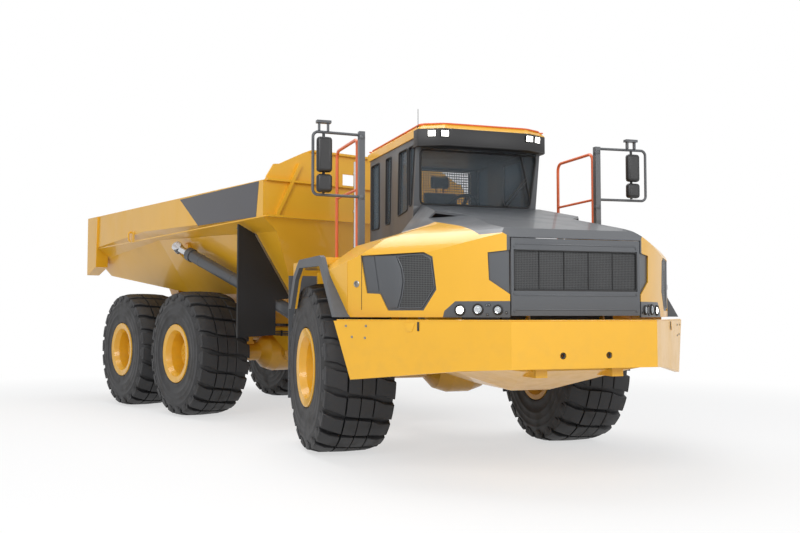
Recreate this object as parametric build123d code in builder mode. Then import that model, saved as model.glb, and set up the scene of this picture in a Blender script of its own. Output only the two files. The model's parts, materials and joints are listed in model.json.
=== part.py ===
"""Articulated six-wheel dump truck, modelled in millimetres.

+Z is up, the truck faces -Y and +X is its left side. Everything is drawn with the front axle at
y = 0 and the ground at z = 0. The rear unit is drawn straight behind the front unit and is then
turned about the articulation pin, and last the whole truck is moved so that its origin is the
bottom centre of its bounding box.
"""
import os
from math import cos, hypot, radians, sin

from build123d import *

# ---------------------------------------------------------------- driving dimensions
wheelbase = 5270            # front axle to middle axle
bogie_spacing = 2220        # middle axle to rear axle
track = 2980                # wheel centre to wheel centre across the truck
tyre_radius = 990
tyre_width = 855
bead_share = 0.90           # beads of the tyre apart, as a share of its width
lug_count = 22              # shoulder lugs round a tyre
lug_gap = 85
lug_depth = 42
rim_flange_radius = 462
rim_seat_radius = 372
hitch_y = 1670              # articulation pin behind the front axle
hitch_z = 1150
bend = 19.4                 # degrees the rear unit is turned about the pin
articulation = 45           # degrees it can turn to either side
tip_angle = 70              # degrees the bed tips
hood_hinge_y = -2950        # bar that hood and grille swing on
hood_hinge_z = 1690
grille_depth = 70           # how deep the grille's flanges stand behind its face
hinge_bar_radius = 16
running_gap = 0.3           # radial clearance of a shaft in its bore
seam = 8                    # open joint between neighbouring body panels
moving_gap = 12             # least space between a moving piece and what it passes

panel = 25                  # body panel thickness
rail_x = 400                # centre of a chassis rail
rail_width = 120
rail_bottom = 1030
rail_top = 1400
frame_front = -3060
spindle_radius = 150
wheel_inner = track / 2 - tyre_width / 2

bumper_front = -3180
bumper_half_flat = 760      # half width of the straight front
bumper_half_width = 2030
bumper_wing_y = -1780
bumper_top = 1550
bumper_wing_bottom = 970
bumper_front_bottom = 1120
bumper_skin = 40
bumper_ledge = 230
tow_x = 240                 # bores for the towing pins in the front plate
tow_z = 1235
tow_radius = 32

hood_bottom = 1585
hood_front = -3020
hood_front_half = 690       # half width of the straight front
hood_front_top = 2330
hood_seam_y = -1720         # where the hood meets the fenders
hood_rear = -830
hood_half_width = 1870
crest_half = 1000           # half width of the raised centre of the hood
crest_top = 2530
lamp_top = 1735
lamp_half = 1195            # half width of the lamp strip at its lower edge

cab_x = -60                 # the cab sits a little to the right of the middle
cab_half_width = 775
cab_floor = 2060
cab_front = -785
cab_front_top = -920
cab_rear = 900
cab_belt = 2850
cab_roof_bottom = 3620
cab_roof_top = 3750
cab_wall = 45
glass = 8
door_front = -560
door_rear = 80
door_hinge_x = cab_x + cab_half_width + 18
door_hinge_z = (2480, 3400)

fender_half = track / 2 + tyre_width / 2 + 42.5     # outside of the fenders, just past the front tyres
fender_rear = 420
fender_crest_rear = -975    # where the sloped top of the fender ends and the deck begins
deck_top = 2290
arch_top = 2150
lip = 50

bed_front = 2450
bed_rear = 9200
bed_half_width = 1900
bed_top = 3450
bed_wall = 30
bed_pivot_y = 8100
bed_pivot_z = 1950
bed_rail_bottom = 1460
headboard_foot_y = 3150
guard_top = 3940
hoist_foot = (864, 2350, 1313)
hoist_eye = (1720, 5600, 2700)
hoist_barrel_radius = 95
hoist_rod_radius = 58
hoist_eye_width = 120
hoist_eye_radius = 85
hoist_pin_radius = 45
bed_pin_radius = 60
steer_foot = (660, 500, 1250)
steer_eye = (430, 1820, 1250)
steer_barrel_radius = 65
steer_rod_radius = 36

middle_y = wheelbase
rear_y = wheelbase + bogie_spacing
bogie_y = (middle_y + rear_y) / 2
bogie_x = 690

front, rear = {}, {}


# ---------------------------------------------------------------- small helpers
def box_between(low, high):
    """Box from one corner to the opposite one."""
    centre = tuple((a + b) / 2 for a, b in zip(low, high))
    with BuildPart() as block:
        with Locations(centre):
            Box(*[abs(b - a) for a, b in zip(low, high)])
    return block.part


def side_plate(points, x_low, x_high):
    """Plate whose outline is a list of (y, z) points, between two x values."""
    with BuildPart() as plate:
        with BuildSketch(Plane.YZ.offset(x_low)):
            Polygon(*points, align=None)
        extrude(amount=x_high - x_low)
    return plate.part


def cross_plate(points, y_low, y_high):
    """Plate whose outline is a list of (x, z) points, between two y values."""
    with BuildPart() as plate:
        with BuildSketch(Plane.XZ.offset(-y_high)):
            Polygon(*points, align=None)
        extrude(amount=y_high - y_low)
    return plate.part


def rod_between(start, end, radius):
    """Round bar between two points."""
    a, b = Vector(*start), Vector(*end)
    with BuildPart() as bar:
        with BuildSketch(Plane(origin=a, z_dir=(b - a).normalized())):
            Circle(radius)
        extrude(amount=(b - a).length)
    return bar.part


def bent_tube(points, radius, corner):
    """Round tube along straight runs with rounded corners."""
    with BuildPart() as tube:
        with BuildLine() as path:
            FilletPolyline(*points, radius=corner)
        with BuildSketch(Plane(origin=path.line @ 0, z_dir=path.line % 0)):
            Circle(radius)
        sweep()
    return tube.part


def both_sides(points):
    """The (x, y) outline of a right half, closed by its mirror image."""
    return points + [(-x, y) for x, y in reversed(points)]


def left_of(piece):
    return mirror(piece, about=Plane.YZ)


def swung(point, angle):
    """A point of the straight rear unit after a turn about the articulation pin."""
    c, s = cos(radians(angle)), sin(radians(angle))
    x, y = point[0], point[1] - hitch_y
    return (c * x - s * y, s * x + c * y + hitch_y, point[2])


def turned(point):
    """A point of the straight rear unit where it is at rest."""
    return swung(point, bend)


def tipped(point):
    """A point of the bed, with the rear unit straight, after the bed has tipped all the way."""
    c, s = cos(radians(tip_angle)), sin(radians(tip_angle))
    y, z = point[1] - bed_pivot_y, point[2] - bed_pivot_z
    return (point[0], c * y + s * z + bed_pivot_y, c * z - s * y + bed_pivot_z)


# ---------------------------------------------------------------- wheels and axles
def tyre():
    """Tyre section turned about the wheel's axle, with gaps cut between its shoulder lugs."""
    half = tyre_width / 2
    bead = half * bead_share
    with BuildPart() as ring:
        with BuildSketch(Plane.XZ):
            with BuildLine():
                for side in (-1, 1):
                    Polyline((tyre_radius * 0.70, side * half), (rim_flange_radius + 14, side * bead),
                             (rim_seat_radius + 2, side * bead))
                    ThreePointArc((tyre_radius * 0.70, side * half), (tyre_radius * 0.83, side * half * 0.985),
                                  (tyre_radius * 0.92, side * half * 0.91))
                    Line((tyre_radius * 0.92, side * half * 0.91), (tyre_radius * 0.975, side * half * 0.84))
                Line((rim_seat_radius + 2, -bead), (rim_seat_radius + 2, bead))
                ThreePointArc((tyre_radius * 0.975, -half * 0.84), (tyre_radius, 0),
                              (tyre_radius * 0.975, half * 0.84))
            make_face()
        revolve(axis=Axis.Z)
        for side, start in ((-1, 0), (1, 180 / lug_count)):
            with PolarLocations(tyre_radius * 0.97, lug_count, start_angle=start):
                with Locations((0, 0, side * half * 0.87)):
                    Box(2 * lug_depth, lug_gap, half * 0.55, mode=Mode.SUBTRACT)
    return ring.part.rotate(Axis.Y, 90)


def rim(out):
    """Rim with its seat, both flanges, the disc set back from the outside and the hub drum."""
    half = tyre_width / 2 * bead_share
    flange = half + 26
    disc = 60
    with BuildPart() as wheel:
        with BuildSketch(Plane.XY):
            with BuildLine():
                Polyline(
                    (-out * flange, rim_flange_radius), (-out * half, rim_flange_radius),
                    (-out * half, rim_seat_radius), (out * half, rim_seat_radius),
                    (out * half, rim_flange_radius), (out * flange, rim_flange_radius),
                    (out * (flange + 6), rim_flange_radius - 25), (out * (flange - 4), rim_flange_radius - 95),
                    (out * (half - 60), rim_seat_radius - 42), (out * (disc + 30), rim_seat_radius - 60),
                    (out * disc, rim_seat_radius - 90), (out * disc, 215), (out * (half - 180), 195),
                    (out * (half - 160), 150), (out * (half - 150), 0), (out * 10, 0),
                    (out * 10, spindle_radius + running_gap), (-out * disc, spindle_radius + running_gap),
                    (-out * disc, rim_seat_radius - 52), (-out * (half - 20), rim_seat_radius - 32),
                    (-out * flange, rim_flange_radius - 60),
                    close=True,
                )
            make_face()
        revolve(axis=Axis.X)
    return wheel.part


def axle(y):
    """Drive axle: bulb for the final drive, tapered tubes, brake drums and wheel spindles."""
    inner = wheel_inner - 150
    with BuildPart() as housing:
        with BuildSketch(Plane.XY):
            with BuildLine():
                Polyline(
                    (-track / 2 - 5, 0),
                    (-track / 2 - 5, spindle_radius),
                    (-track / 2 + 65, spindle_radius),
                    (-track / 2 + 65, 250),
                    (-inner, 250),
                    (-inner, 150),
                    (-430, 150),
                    (-300, 280),
                    (-140, 330),
                    (140, 330),
                    (300, 280),
                    (430, 150),
                    (inner, 150),
                    (inner, 250),
                    (track / 2 - 65, 250),
                    (track / 2 - 65, spindle_radius),
                    (track / 2 + 5, spindle_radius),
                    (track / 2 + 5, 0),
                    close=True,
                )
            make_face()
        revolve(axis=Axis.X)
        with Locations([(0, -340, 0)]):
            Cylinder(150, 200, rotation=(90, 0, 0))
    return housing.part.moved(Location((0, y, tyre_radius)))


wheel_places = {"front": 0, "middle": middle_y, "rear": rear_y}
plain_tyre = tyre()
for place, wheel_y in wheel_places.items():
    unit = front if place == "front" else rear
    for side, side_name in ((-1, "right"), (1, "left")):
        centre = Location((side * track / 2, wheel_y, tyre_radius))
        unit[f"tyre_{place}_{side_name}"] = plain_tyre.moved(centre)
        unit[f"rim_{place}_{side_name}"] = rim(side).moved(centre)
    unit[f"{place}_axle"] = axle(wheel_y)

# ---------------------------------------------------------------- front chassis
ear_thickness = 90
ear_gap = 330               # height between the two ears of the articulation
pin_radius = 85
ear_radius = 190
outrigger = 40
front_outrigger_y = -1280
rear_outrigger_y = 1080
arch_over_axle = 1345       # underside of the rails where they pass over the front axle
neck_front, neck_rear = 800, 1300
neck_half = 300
neck_bottom = hitch_z - ear_gap / 2 - ear_thickness
cab_mount_y = (-500, 700)
strut_x = 620
strut_top = 1420
steer_eye_height = 80
steer_pin_radius = 35

with BuildPart() as front_frame:
    for side in (-1, 1):
        x = side * rail_x
        add(side_plate(
            [(frame_front, rail_bottom), (-600, rail_bottom), (-450, arch_over_axle),
             (450, arch_over_axle), (600, rail_bottom), (neck_front, rail_bottom),
             (neck_front, rail_top), (600, rail_top), (400, rail_top + 160), (-400, rail_top + 160),
             (-600, rail_top), (frame_front, rail_top)],
            x - rail_width / 2, x + rail_width / 2))
    for y_low, y_high in ((-2700, -2560), (-900, -760)):
        add(box_between((-rail_x, y_low, rail_bottom + 60), (rail_x, y_high, rail_top - 60)))
    with BuildSketch(Plane.XY.offset(neck_bottom)):
        Polygon((-460, neck_front - 60), (460, neck_front - 60), (neck_half, neck_rear), (-neck_half, neck_rear),
                align=None)
    extrude(amount=rail_top + 20 - neck_bottom)
    for level in (hitch_z - ear_gap / 2 - ear_thickness, hitch_z + ear_gap / 2):
        with BuildSketch(Plane.XY.offset(level)):
            with BuildLine():
                Polyline((-ear_radius, hitch_y), (-neck_half, neck_rear - 10), (neck_half, neck_rear - 10),
                         (ear_radius, hitch_y))
                ThreePointArc((ear_radius, hitch_y), (0, hitch_y + ear_radius), (-ear_radius, hitch_y))
            make_face()
            with Locations([(0, hitch_y)]):
                Circle(pin_radius + running_gap, mode=Mode.SUBTRACT)
        extrude(amount=ear_thickness)
    for y in cab_mount_y:
        for side in (-1, 1):
            add(box_between((side * (rail_x - 50), y - 50, rail_top - 10),
                            (side * (rail_x + 50), y + 50, cab_floor)))
    for side in (-1, 1):
        add(box_between((side * (strut_x - 70), -150, strut_top), (side * (strut_x + 70), 150, strut_top + 160)))
        add(box_between((side * rail_x, -120, strut_top), (side * strut_x, 120, rail_top + 160)))
    add(rod_between((-716, hood_hinge_y, hood_hinge_z), (716, hood_hinge_y, hood_hinge_z), hinge_bar_radius))
    # the arms come to the bar from behind, where the grille's foot passes under them as it opens
    arm_front = hood_hinge_y + hypot(grille_depth, hood_hinge_z - hood_bottom - 15) + moving_gap
    for side in (-1, 1):
        add(side_plate([(arm_front, rail_top - 20), (arm_front, hood_hinge_z - 28), (-2975, hood_hinge_z - 28),
                        (-2975, hood_hinge_z + 28), (arm_front + 30, hood_hinge_z + 28),
                        (arm_front + 50, hood_hinge_z + 8), (arm_front + 80, rail_top - 20)],
                       side * rail_x - 10, side * rail_x + 10))
front["front_frame"] = front_frame.part

with BuildPart() as brackets:
    foot_x, foot_y, foot_z = steer_foot
    reach = steer_eye_height / 2 + moving_gap       # from the middle of the eye to the plates beside it
    for side in (-1, 1):
        for y in (front_outrigger_y, rear_outrigger_y):
            inner = neck_half - 20 if y > 0 else rail_x - rail_width / 2
            add(cross_plate([(side * inner, rail_top - 150), (side * 1500, 1950), (side * 1500, arch_top),
                             (side * inner, arch_top)], y - outrigger / 2, y + outrigger / 2))
        for z in (foot_z - reach - 30, foot_z + reach):
            add(box_between((side * rail_x, foot_y - 80, z), (side * (foot_x + 60), foot_y + 50, z + 30)))
        add(rod_between((side * foot_x, foot_y, foot_z - reach - 30),
                        (side * foot_x, foot_y, foot_z + reach + 30), steer_pin_radius))
    add(front_frame.part, mode=Mode.SUBTRACT)
front["frame_brackets"] = brackets.part

# suspension struts stand on the front axle and carry the frame
with BuildPart() as struts:
    for side in (-1, 1):
        foot = tyre_radius + 150
        add(rod_between((side * strut_x, 0, foot), (side * strut_x, 0, strut_top), 70))
        add(box_between((side * (strut_x - 90), -110, foot - 40), (side * (strut_x + 90), 110, foot + 25)))
    add(front["front_axle"], mode=Mode.SUBTRACT)
front["front_struts"] = struts.part


# ---------------------------------------------------------------- bumper
def bumper_form(inset):
    """Solid inside the bumper's outer faces, drawn in by a wall."""
    lean = 150
    with BuildPart() as form:
        for z, wing_x, wing_y in (
            (bumper_wing_bottom - 60, bumper_half_width - lean, bumper_wing_y - lean),
            (bumper_top, bumper_half_width, bumper_wing_y),
        ):
            with BuildSketch(Plane.XY.offset(z)):
                outline = both_sides([
                    (wing_x - 1.4 * inset, wing_y),
                    (bumper_half_flat - 0.4 * inset, bumper_front + inset),
                ])
                Polygon(*outline, align=None)
        loft(ruled=True)
    return form.part


with BuildPart() as bumper:
    add(bumper_form(0))
    add(bumper_form(bumper_skin), mode=Mode.SUBTRACT)
    add(side_plate(
        [(bumper_front - 50, bumper_wing_bottom - 80), (bumper_wing_y + 300, bumper_wing_bottom - 80),
         (bumper_wing_y - 100, bumper_wing_bottom), (-2800, 1090), (bumper_front - 50, bumper_front_bottom)],
        -3000, 3000), mode=Mode.SUBTRACT)
    with BuildPart(mode=Mode.PRIVATE) as ledge:
        add(bumper_form(bumper_skin / 2))
        add(bumper_form(bumper_ledge), mode=Mode.SUBTRACT)
        add(box_between((-3000, -4000, 0), (3000, 0, bumper_top - 12)), mode=Mode.SUBTRACT)
    add(ledge.part)
    for side in (-1, 1):
        add(box_between(
            (side * rail_x - 100, bumper_front + 20, 1150), (side * rail_x + 100, frame_front, 1380)))
        with Locations(Location((side * tow_x, bumper_front + bumper_skin / 2, tow_z), (90, 0, 0))):
            Cylinder(tow_radius, bumper_skin * 2, mode=Mode.SUBTRACT)
front["bumper"] = bumper.part

guard_sections = (          # y, half width and z of the upper edge, half width and z of the bottom
    (-3000, 720, 1125, 560, 1105),
    (-2050, 840, 1050, 220, 850),
    (-1150, 800, 1050, 240, 870),
)
guard_plate = 16


def guard_form(drop):
    """Solid above the belly guard's plate, or above its underside where it is dropped by the plate."""
    with BuildPart() as form:
        for y, top_half, top_z, bottom_half, bottom_z in guard_sections:
            with BuildSketch(Plane.XZ.offset(-y)):
                Polygon(*both_sides([(top_half, 1200), (top_half, top_z - drop), (bottom_half, bottom_z - drop)]),
                        align=None)
        loft(ruled=True)
    return form.part


with BuildPart() as belly_guard:
    add(guard_form(guard_plate))
    add(guard_form(0), mode=Mode.SUBTRACT)
    with BuildPart(mode=Mode.PRIVATE) as hangers:
        for side in (-1, 1):
            for y in (-2450, -1350):
                add(box_between((side * rail_x - 30, y - 60, 800), (side * rail_x + 30, y + 60, rail_bottom)))
        add(guard_form(0), mode=Mode.INTERSECT)
    add(hangers.part)
    add(front_frame.part, mode=Mode.SUBTRACT)
front["belly_guard"] = belly_guard.part


# ---------------------------------------------------------------- hood, fenders and grille
wing_start = Vector(1080, -2710)
wing_end = Vector(hood_half_width, hood_seam_y)
wing_direction = (wing_end - wing_start).normalized()
wing_normal = Vector(wing_direction.Y, -wing_direction.X)


def shoulder(inset):
    """What is cut away to slope the hood's top down towards its left side, drawn square to the side."""
    plane = Plane(origin=(wing_start.X, wing_start.Y, 0), x_dir=(wing_normal.X, wing_normal.Y, 0),
                  z_dir=(-wing_direction.X, -wing_direction.Y, 0))
    with BuildPart() as wedge:
        with BuildSketch(plane.offset(-2500)):
            with BuildLine():
                Spline((60 - inset, 2140 - inset), (-45 - inset, 2320 - inset), (-150 - inset, 2400 - inset),
                       (-350 - inset, 2485 - inset))
                Polyline((-350 - inset, 2485 - inset), (-900, 2640 - inset), (-900, 3400), (60 - inset, 3400),
                         (60 - inset, 2140 - inset))
            make_face()
        extrude(amount=4500)
    return wedge.part


def hood_form(inset):
    """Outer form of hood and front fenders: plan, side view and front view cut into one another."""
    flat = hood_front_half - 0.4 * inset
    wing = hood_half_width - inset
    wide = fender_half - inset
    nose = hood_front + inset
    with BuildPart() as form:
        with BuildSketch(Plane.XY.offset(hood_bottom - (100 if inset > 0 else 0))):
            with BuildLine():
                for side in (-1, 1):
                    Line((0, nose), (side * flat, nose))
                    ThreePointArc((side * flat, nose), (side * (1080 - 0.7 * inset), -2710 + 0.7 * inset),
                                  (side * wing, hood_seam_y))
                    Line((side * wing, hood_seam_y), (side * wide, -1350))
                    Line((side * wide, -1350), (side * wide, hood_rear))
                Line((-wide, hood_rear), (wide, hood_rear))
            make_face()
        extrude(amount=1500)
        with BuildSketch(Plane.YZ.offset(-2500)):
            Polygon((nose, hood_bottom - 300), (nose, hood_front_top - inset / 2), (-2900, 2420 - inset),
                    (-1500, 2720 - inset), (hood_rear, 2860 - inset), (hood_rear, hood_bottom - 300), align=None)
        extrude(amount=5000, mode=Mode.INTERSECT)
        with BuildSketch(Plane.XZ):
            Polygon(*both_sides([(2400, 900), (2400, 1600), (wide, 2080 - inset / 2), (1560, 2360 - inset),
                                 (crest_half, crest_top - inset), (740, 2860 - inset)]), align=None)
        extrude(amount=4000, mode=Mode.INTERSECT)
        add(shoulder(inset), mode=Mode.SUBTRACT)
        add(left_of(shoulder(inset)), mode=Mode.SUBTRACT)
    return form.part


with BuildPart() as body_skin:
    add(hood_form(0))
    add(hood_form(panel), mode=Mode.SUBTRACT)


def wing_prism(points, depth):
    """Prism through the hood's side, its outline given along the side and in height."""
    plane = Plane(origin=(wing_start.X, wing_start.Y, 0), x_dir=(wing_direction.X, wing_direction.Y, 0),
                  z_dir=(wing_normal.X, wing_normal.Y, 0))
    with BuildPart() as prism:
        with BuildSketch(plane.offset(-depth)):
            Polygon(*points, align=None)
        extrude(amount=2 * depth)
    return prism.part


vent_outline = [(1090, 2195), (1010, 1820), (845, 1812), (750, 1650), (350, 1650), (215, 1845), (255, 2160),
                (350, 2205)]
grille_half = hood_front_half - 10
grille_top = 2316
grille_slit = 6             # between the grille's top edge and the hood's front lip
grille_window_half = 654
grille_window = (1830, 2210)
corner_vent = [(hood_front_half, 2205), (860, 2185), (850, 1930), (hood_front_half, 1795)]
lamp_strip = [(grille_half, lamp_top), (lamp_half - 95, lamp_top), (lamp_half - 15, hood_bottom + 60),
              (lamp_half, hood_bottom - 20), (grille_half, hood_bottom - 20)]
hood_top_plan = [(crest_half, hood_rear + 5), (985, -1700), (900, -2800), (hood_front_half, -3030)]
top_panel_low = 2195        # lowest edge of the grey top panel, at the grille

hinge_bore = rod_between((-900, hood_hinge_y, hood_hinge_z), (900, hood_hinge_y, hood_hinge_z),
                         hinge_bar_radius + running_gap)

with BuildPart() as side_vents:
    add(wing_prism(vent_outline, 150))
    add(left_of(side_vents.part))
    for side in (-1, 1):
        add(cross_plate([(side * x, z) for x, z in corner_vent], -3100, -2700))

with BuildPart() as lamp_openings:
    for side in (-1, 1):
        add(cross_plate([(side * x, z) for x, z in lamp_strip], -3100, -2350))

with BuildPart() as top_zone:
    with BuildSketch(Plane.XY.offset(top_panel_low)):
        Polygon(*both_sides(hood_top_plan), align=None)
    extrude(amount=1000)

with BuildPart() as hood_shell:
    add(body_skin.part)
    for side in (-1, 1):
        add(box_between((side * crest_half, hood_seam_y - seam / 2, 0), (side * 3000, 0, 3000)),
            mode=Mode.SUBTRACT)
    add(box_between((-grille_half - moving_gap, -3100, 0),
                    (grille_half + moving_gap, -2900, grille_top + grille_slit)), mode=Mode.SUBTRACT)
    add(side_vents.part, mode=Mode.SUBTRACT)
    add(lamp_openings.part, mode=Mode.SUBTRACT)

with BuildPart() as hood:
    add(hood_shell.part)
    add(top_zone.part, mode=Mode.SUBTRACT)
    for side in (-1, 1):
        add(side_plate([(-2990, 1745), (-2990, 1800), (-2925, 1800), (-2925, 1665), (-2958, 1665), (-2958, 1745)],
                       side * 705 - 8, side * 705 + 8))
    add(hinge_bore, mode=Mode.SUBTRACT)
front["hood"] = hood.part

with BuildPart() as hood_top:
    add(hood_shell.part)
    add(top_zone.part, mode=Mode.INTERSECT)
front["hood_top"] = hood_top.part

with BuildPart() as lamps:
    add(body_skin.part)
    add(lamp_openings.part, mode=Mode.INTERSECT)
    add(box_between((-grille_half - moving_gap, -3100, 0), (grille_half + moving_gap, -2900, 3000)),
        mode=Mode.SUBTRACT)
front["headlamps"] = lamps.part

with BuildPart() as vents:
    add(hood_form(15))
    add(hood_form(panel), mode=Mode.SUBTRACT)
    add(side_vents.part, mode=Mode.INTERSECT)
    add(box_between((-grille_half - moving_gap, -3100, 0), (grille_half + moving_gap, -2900, 3000)),
        mode=Mode.SUBTRACT)
front["hood_vents"] = vents.part

with BuildPart() as grille_panel:
    add(box_between((-grille_half, hood_front, hood_bottom + 15),
                    (grille_half, hood_front + grille_depth, grille_top)))
    add(box_between((-grille_half + 25, hood_front + 20, hood_bottom),
                    (grille_half - 25, hood_front + 200, grille_top - 25)), mode=Mode.SUBTRACT)
    add(box_between((-grille_window_half, -3100, grille_window[0]),
                    (grille_window_half, -2900, grille_window[1])), mode=Mode.SUBTRACT)
    for side in (-1, 1):
        add(side_plate([(hood_front + 10, 1620), (hood_front + 10, 1800), (-2925, 1715), (-2925, 1665)],
                       side * 550 - 10, side * 550 + 10))
    add(hinge_bore, mode=Mode.SUBTRACT)
front["grille_panel"] = grille_panel.part

with BuildPart() as grille_mesh:
    add(box_between((-grille_half + 25, hood_front + 20, grille_window[0] - 30),
                    (grille_half - 25, hood_front + 26, grille_window[1] + 30)))
front["grille_mesh"] = grille_mesh.part

# wheel arch of the fender, as (y, z) from its front foot to its rear foot
arch = [(-1640, hood_bottom), (-1090, arch_top - 20), (-120, arch_top), (90, 2020), (320, 1680)]
arch_outer = [(-1755, hood_bottom), (-1175, arch_top + 65), (-1100, arch_top + 90), (-110, arch_top + 95),
              (190, 2075), (450, 1680)]
inner_edge = cab_half_width - cab_x + seam      # the deck ends beside the cab's wider side

with BuildPart() as fender_riser:
    add(hood_form(0))
    add(box_between((-3000, fender_crest_rear - panel, arch_top), (-crest_half - seam / 2, fender_crest_rear, 3000)),
        mode=Mode.INTERSECT)

with BuildPart() as fender_right:
    add(body_skin.part)
    add(box_between((-crest_half - seam / 2, -4000, 0), (3000, 0, 3000)), mode=Mode.SUBTRACT)
    add(box_between((-3000, -4000, 0), (0, hood_seam_y + seam / 2, 3000)), mode=Mode.SUBTRACT)
    add(box_between((-3000, fender_crest_rear, 0), (0, 0, 3000)), mode=Mode.SUBTRACT)
    add(fender_riser.part)
    add(box_between((-fender_half, fender_crest_rear, arch_top), (-inner_edge, fender_rear, deck_top - 60)))
    add(box_between((-inner_edge - 10, fender_rear - 10, arch_top),
                    (-inner_edge - 400, rear_outrigger_y + 20, deck_top - 60)))
    add(side_plate(
        [(fender_crest_rear, arch_top), (fender_crest_rear, deck_top - 60), (fender_rear, deck_top - 60),
         (fender_rear, 1680), (320, 1680), (90, 2020), (-120, arch_top)],
        -fender_half, -fender_half + panel))
    add(side_plate([(-1700, 1500), *arch, (320, 1500)], -2500, -1000), mode=Mode.SUBTRACT)
front["fender_right"] = fender_right.part
front["fender_left"] = left_of(fender_right.part)

flap_inner, flap_outer = wheel_inner + 102.5, fender_half - 90
with BuildPart() as mudguards:
    for side in (-1, 1):
        edge = side * (fender_half + lip)
        root = side * (fender_half - 110)
        add(side_plate(arch_outer + list(reversed(arch)), min(edge, root), max(edge, root)))
    add(hood_form(-running_gap), mode=Mode.SUBTRACT)
    add(box_between((-fender_half, -1350, 1000), (fender_half, 1000, 3000)), mode=Mode.SUBTRACT)
    for side in (-1, 1):
        add(cross_plate([(side * 1500, 2110), (side * 1500, 1500), (side * flap_inner, 1400),
                         (side * flap_inner, 540), (side * flap_outer, 540), (side * flap_outer, 2110)],
                        rear_outrigger_y + 20, rear_outrigger_y + 45))
front["mudguards"] = mudguards.part

# ---------------------------------------------------------------- engine and radiator
with BuildPart() as engine:
    add(box_between((-330, -2450, 1360), (330, -1000, 2150)))
    add(box_between((-460, -2300, 1500), (460, -1320, 2000)))
    with Locations([(0, -650, 1650)]):
        Cylinder(250, 700, rotation=(90, 0, 0))
    for y in (-2200, -1100):
        add(box_between((-rail_x + rail_width / 2, y - 50, 1362), (rail_x - rail_width / 2, y + 50, 1392)))
front["engine"] = engine.part

radiator_front = arm_front + 100
with BuildPart() as radiator:
    add(box_between((-560, radiator_front, rail_top), (560, radiator_front + 160, 2270)))
    with Locations([(0, radiator_front + 170, 1850)]):
        Cylinder(330, 60, rotation=(90, 0, 0))
front["radiator"] = radiator.part


# ---------------------------------------------------------------- cab
cab_right = cab_x - cab_half_width
cab_left = cab_x + cab_half_width
screen_lean = (cab_front_top - cab_front) / (cab_roof_bottom - cab_belt)


def cab_form(inset):
    """Solid inside the cab's outer faces: upright sides, windscreen leaning forward at its top."""
    with BuildPart() as form:
        with BuildSketch(Plane.YZ.offset(cab_right + inset)):
            Polygon(
                (cab_front + inset, cab_floor + inset), (cab_front + inset, cab_belt),
                (cab_front_top + inset, cab_roof_bottom - inset),
                (cab_rear - inset, cab_roof_bottom - inset), (cab_rear - inset, cab_floor + inset),
                align=None)
        extrude(amount=2 * (cab_half_width - inset))
    return form.part


def screen_y(z):
    """Front face of the cab at a height above its belt."""
    return cab_front + screen_lean * (z - cab_belt)


window_top = 3540
rear_window = [(500, 2700), (830, 2700), (830, window_top), (500, window_top)]
right_windows = (
    [(screen_y(2860) + 60, 2860), (-640, 2860), (-640, window_top), (screen_y(window_top) + 60, window_top)],
    [(-590, 2820), (-250, 2780), (-290, window_top), (-590, window_top)],
    [(60, 2720), (230, 2720), (210, window_top), (10, window_top)],
    rear_window,
)
screen_outline = [(cab_x - 690, cab_belt + 25), (cab_x + 690, cab_belt + 25), (cab_x + 730, 3480),
                  (cab_x + 700, 3565), (cab_x - 700, 3565), (cab_x - 730, 3480)]
door_bottom, door_top = 2330, 3560


def windows(depth):
    """Prisms of every window of the cab body."""
    with BuildPart() as holes:
        for outline in right_windows:
            add(side_plate(outline, cab_right - 10, cab_right + depth))
        add(side_plate(rear_window, cab_left - depth, cab_left + 10))
        add(cross_plate(screen_outline, cab_front_top - 50, cab_front + depth))
        add(box_between((cab_x - 640, cab_rear - depth, 2800), (cab_x + 640, cab_rear + 10, window_top)))
    return holes.part


with BuildPart() as cab_shell:
    add(cab_form(0))
    add(cab_form(cab_wall), mode=Mode.SUBTRACT)
    add(windows(100), mode=Mode.SUBTRACT)
    add(box_between((cab_left - 100, door_front, door_bottom), (cab_left + 10, door_rear, door_top)),
        mode=Mode.SUBTRACT)
    for z in door_hinge_z:
        add(box_between((cab_left - 5, door_rear + 14, z - 60), (door_hinge_x + 12, door_rear + 40, z + 60)))
        for z_low in (z - 60, z + 32):
            add(box_between((door_hinge_x - 12, door_rear - 12, z_low),
                            (door_hinge_x + 12, door_rear + 30, z_low + 28)))
        add(rod_between((door_hinge_x, door_rear, z - 60), (door_hinge_x, door_rear, z + 60), 9))
front["cab_shell"] = cab_shell.part

with BuildPart() as cab_glass:
    add(cab_form(cab_wall / 2))
    add(cab_form(cab_wall / 2 + glass), mode=Mode.SUBTRACT)
    add(windows(100), mode=Mode.INTERSECT)
front["cab_glass"] = cab_glass.part

roof_half = cab_half_width + 18
with BuildPart() as cab_roof:
    with BuildSketch(Plane.XY.offset(cab_roof_bottom)):
        Polygon((cab_x - roof_half, -990), (cab_x - 520, -1130), (cab_x + 520, -1130),
                (cab_x + roof_half, -990), (cab_x + roof_half, 960), (cab_x - roof_half, 960), align=None)
    extrude(amount=cab_roof_top - cab_roof_bottom)
    chamfer(cab_roof.edges().group_by(Axis.Z)[-1], 45)
front["cab_roof"] = cab_roof.part

visor_bottom = 3495
with BuildPart() as roof_visor:
    with BuildSketch(Plane.XY.offset(visor_bottom)):
        Polygon((cab_x - roof_half + 15, -960), (cab_x - roof_half + 15, -985), (cab_x - 510, -1110),
                (cab_x + 510, -1110), (cab_x + roof_half - 15, -985), (cab_x + roof_half - 15, -960),
                align=None)
    extrude(amount=cab_roof_bottom - visor_bottom)
    add(side_plate([(-1200, visor_bottom - 10), (-1200, visor_bottom + 40), (-1110, visor_bottom + 40),
                    (-1020, visor_bottom - 10)], cab_x - 1000, cab_x + 1000), mode=Mode.SUBTRACT)
front["roof_visor"] = roof_visor.part

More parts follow.
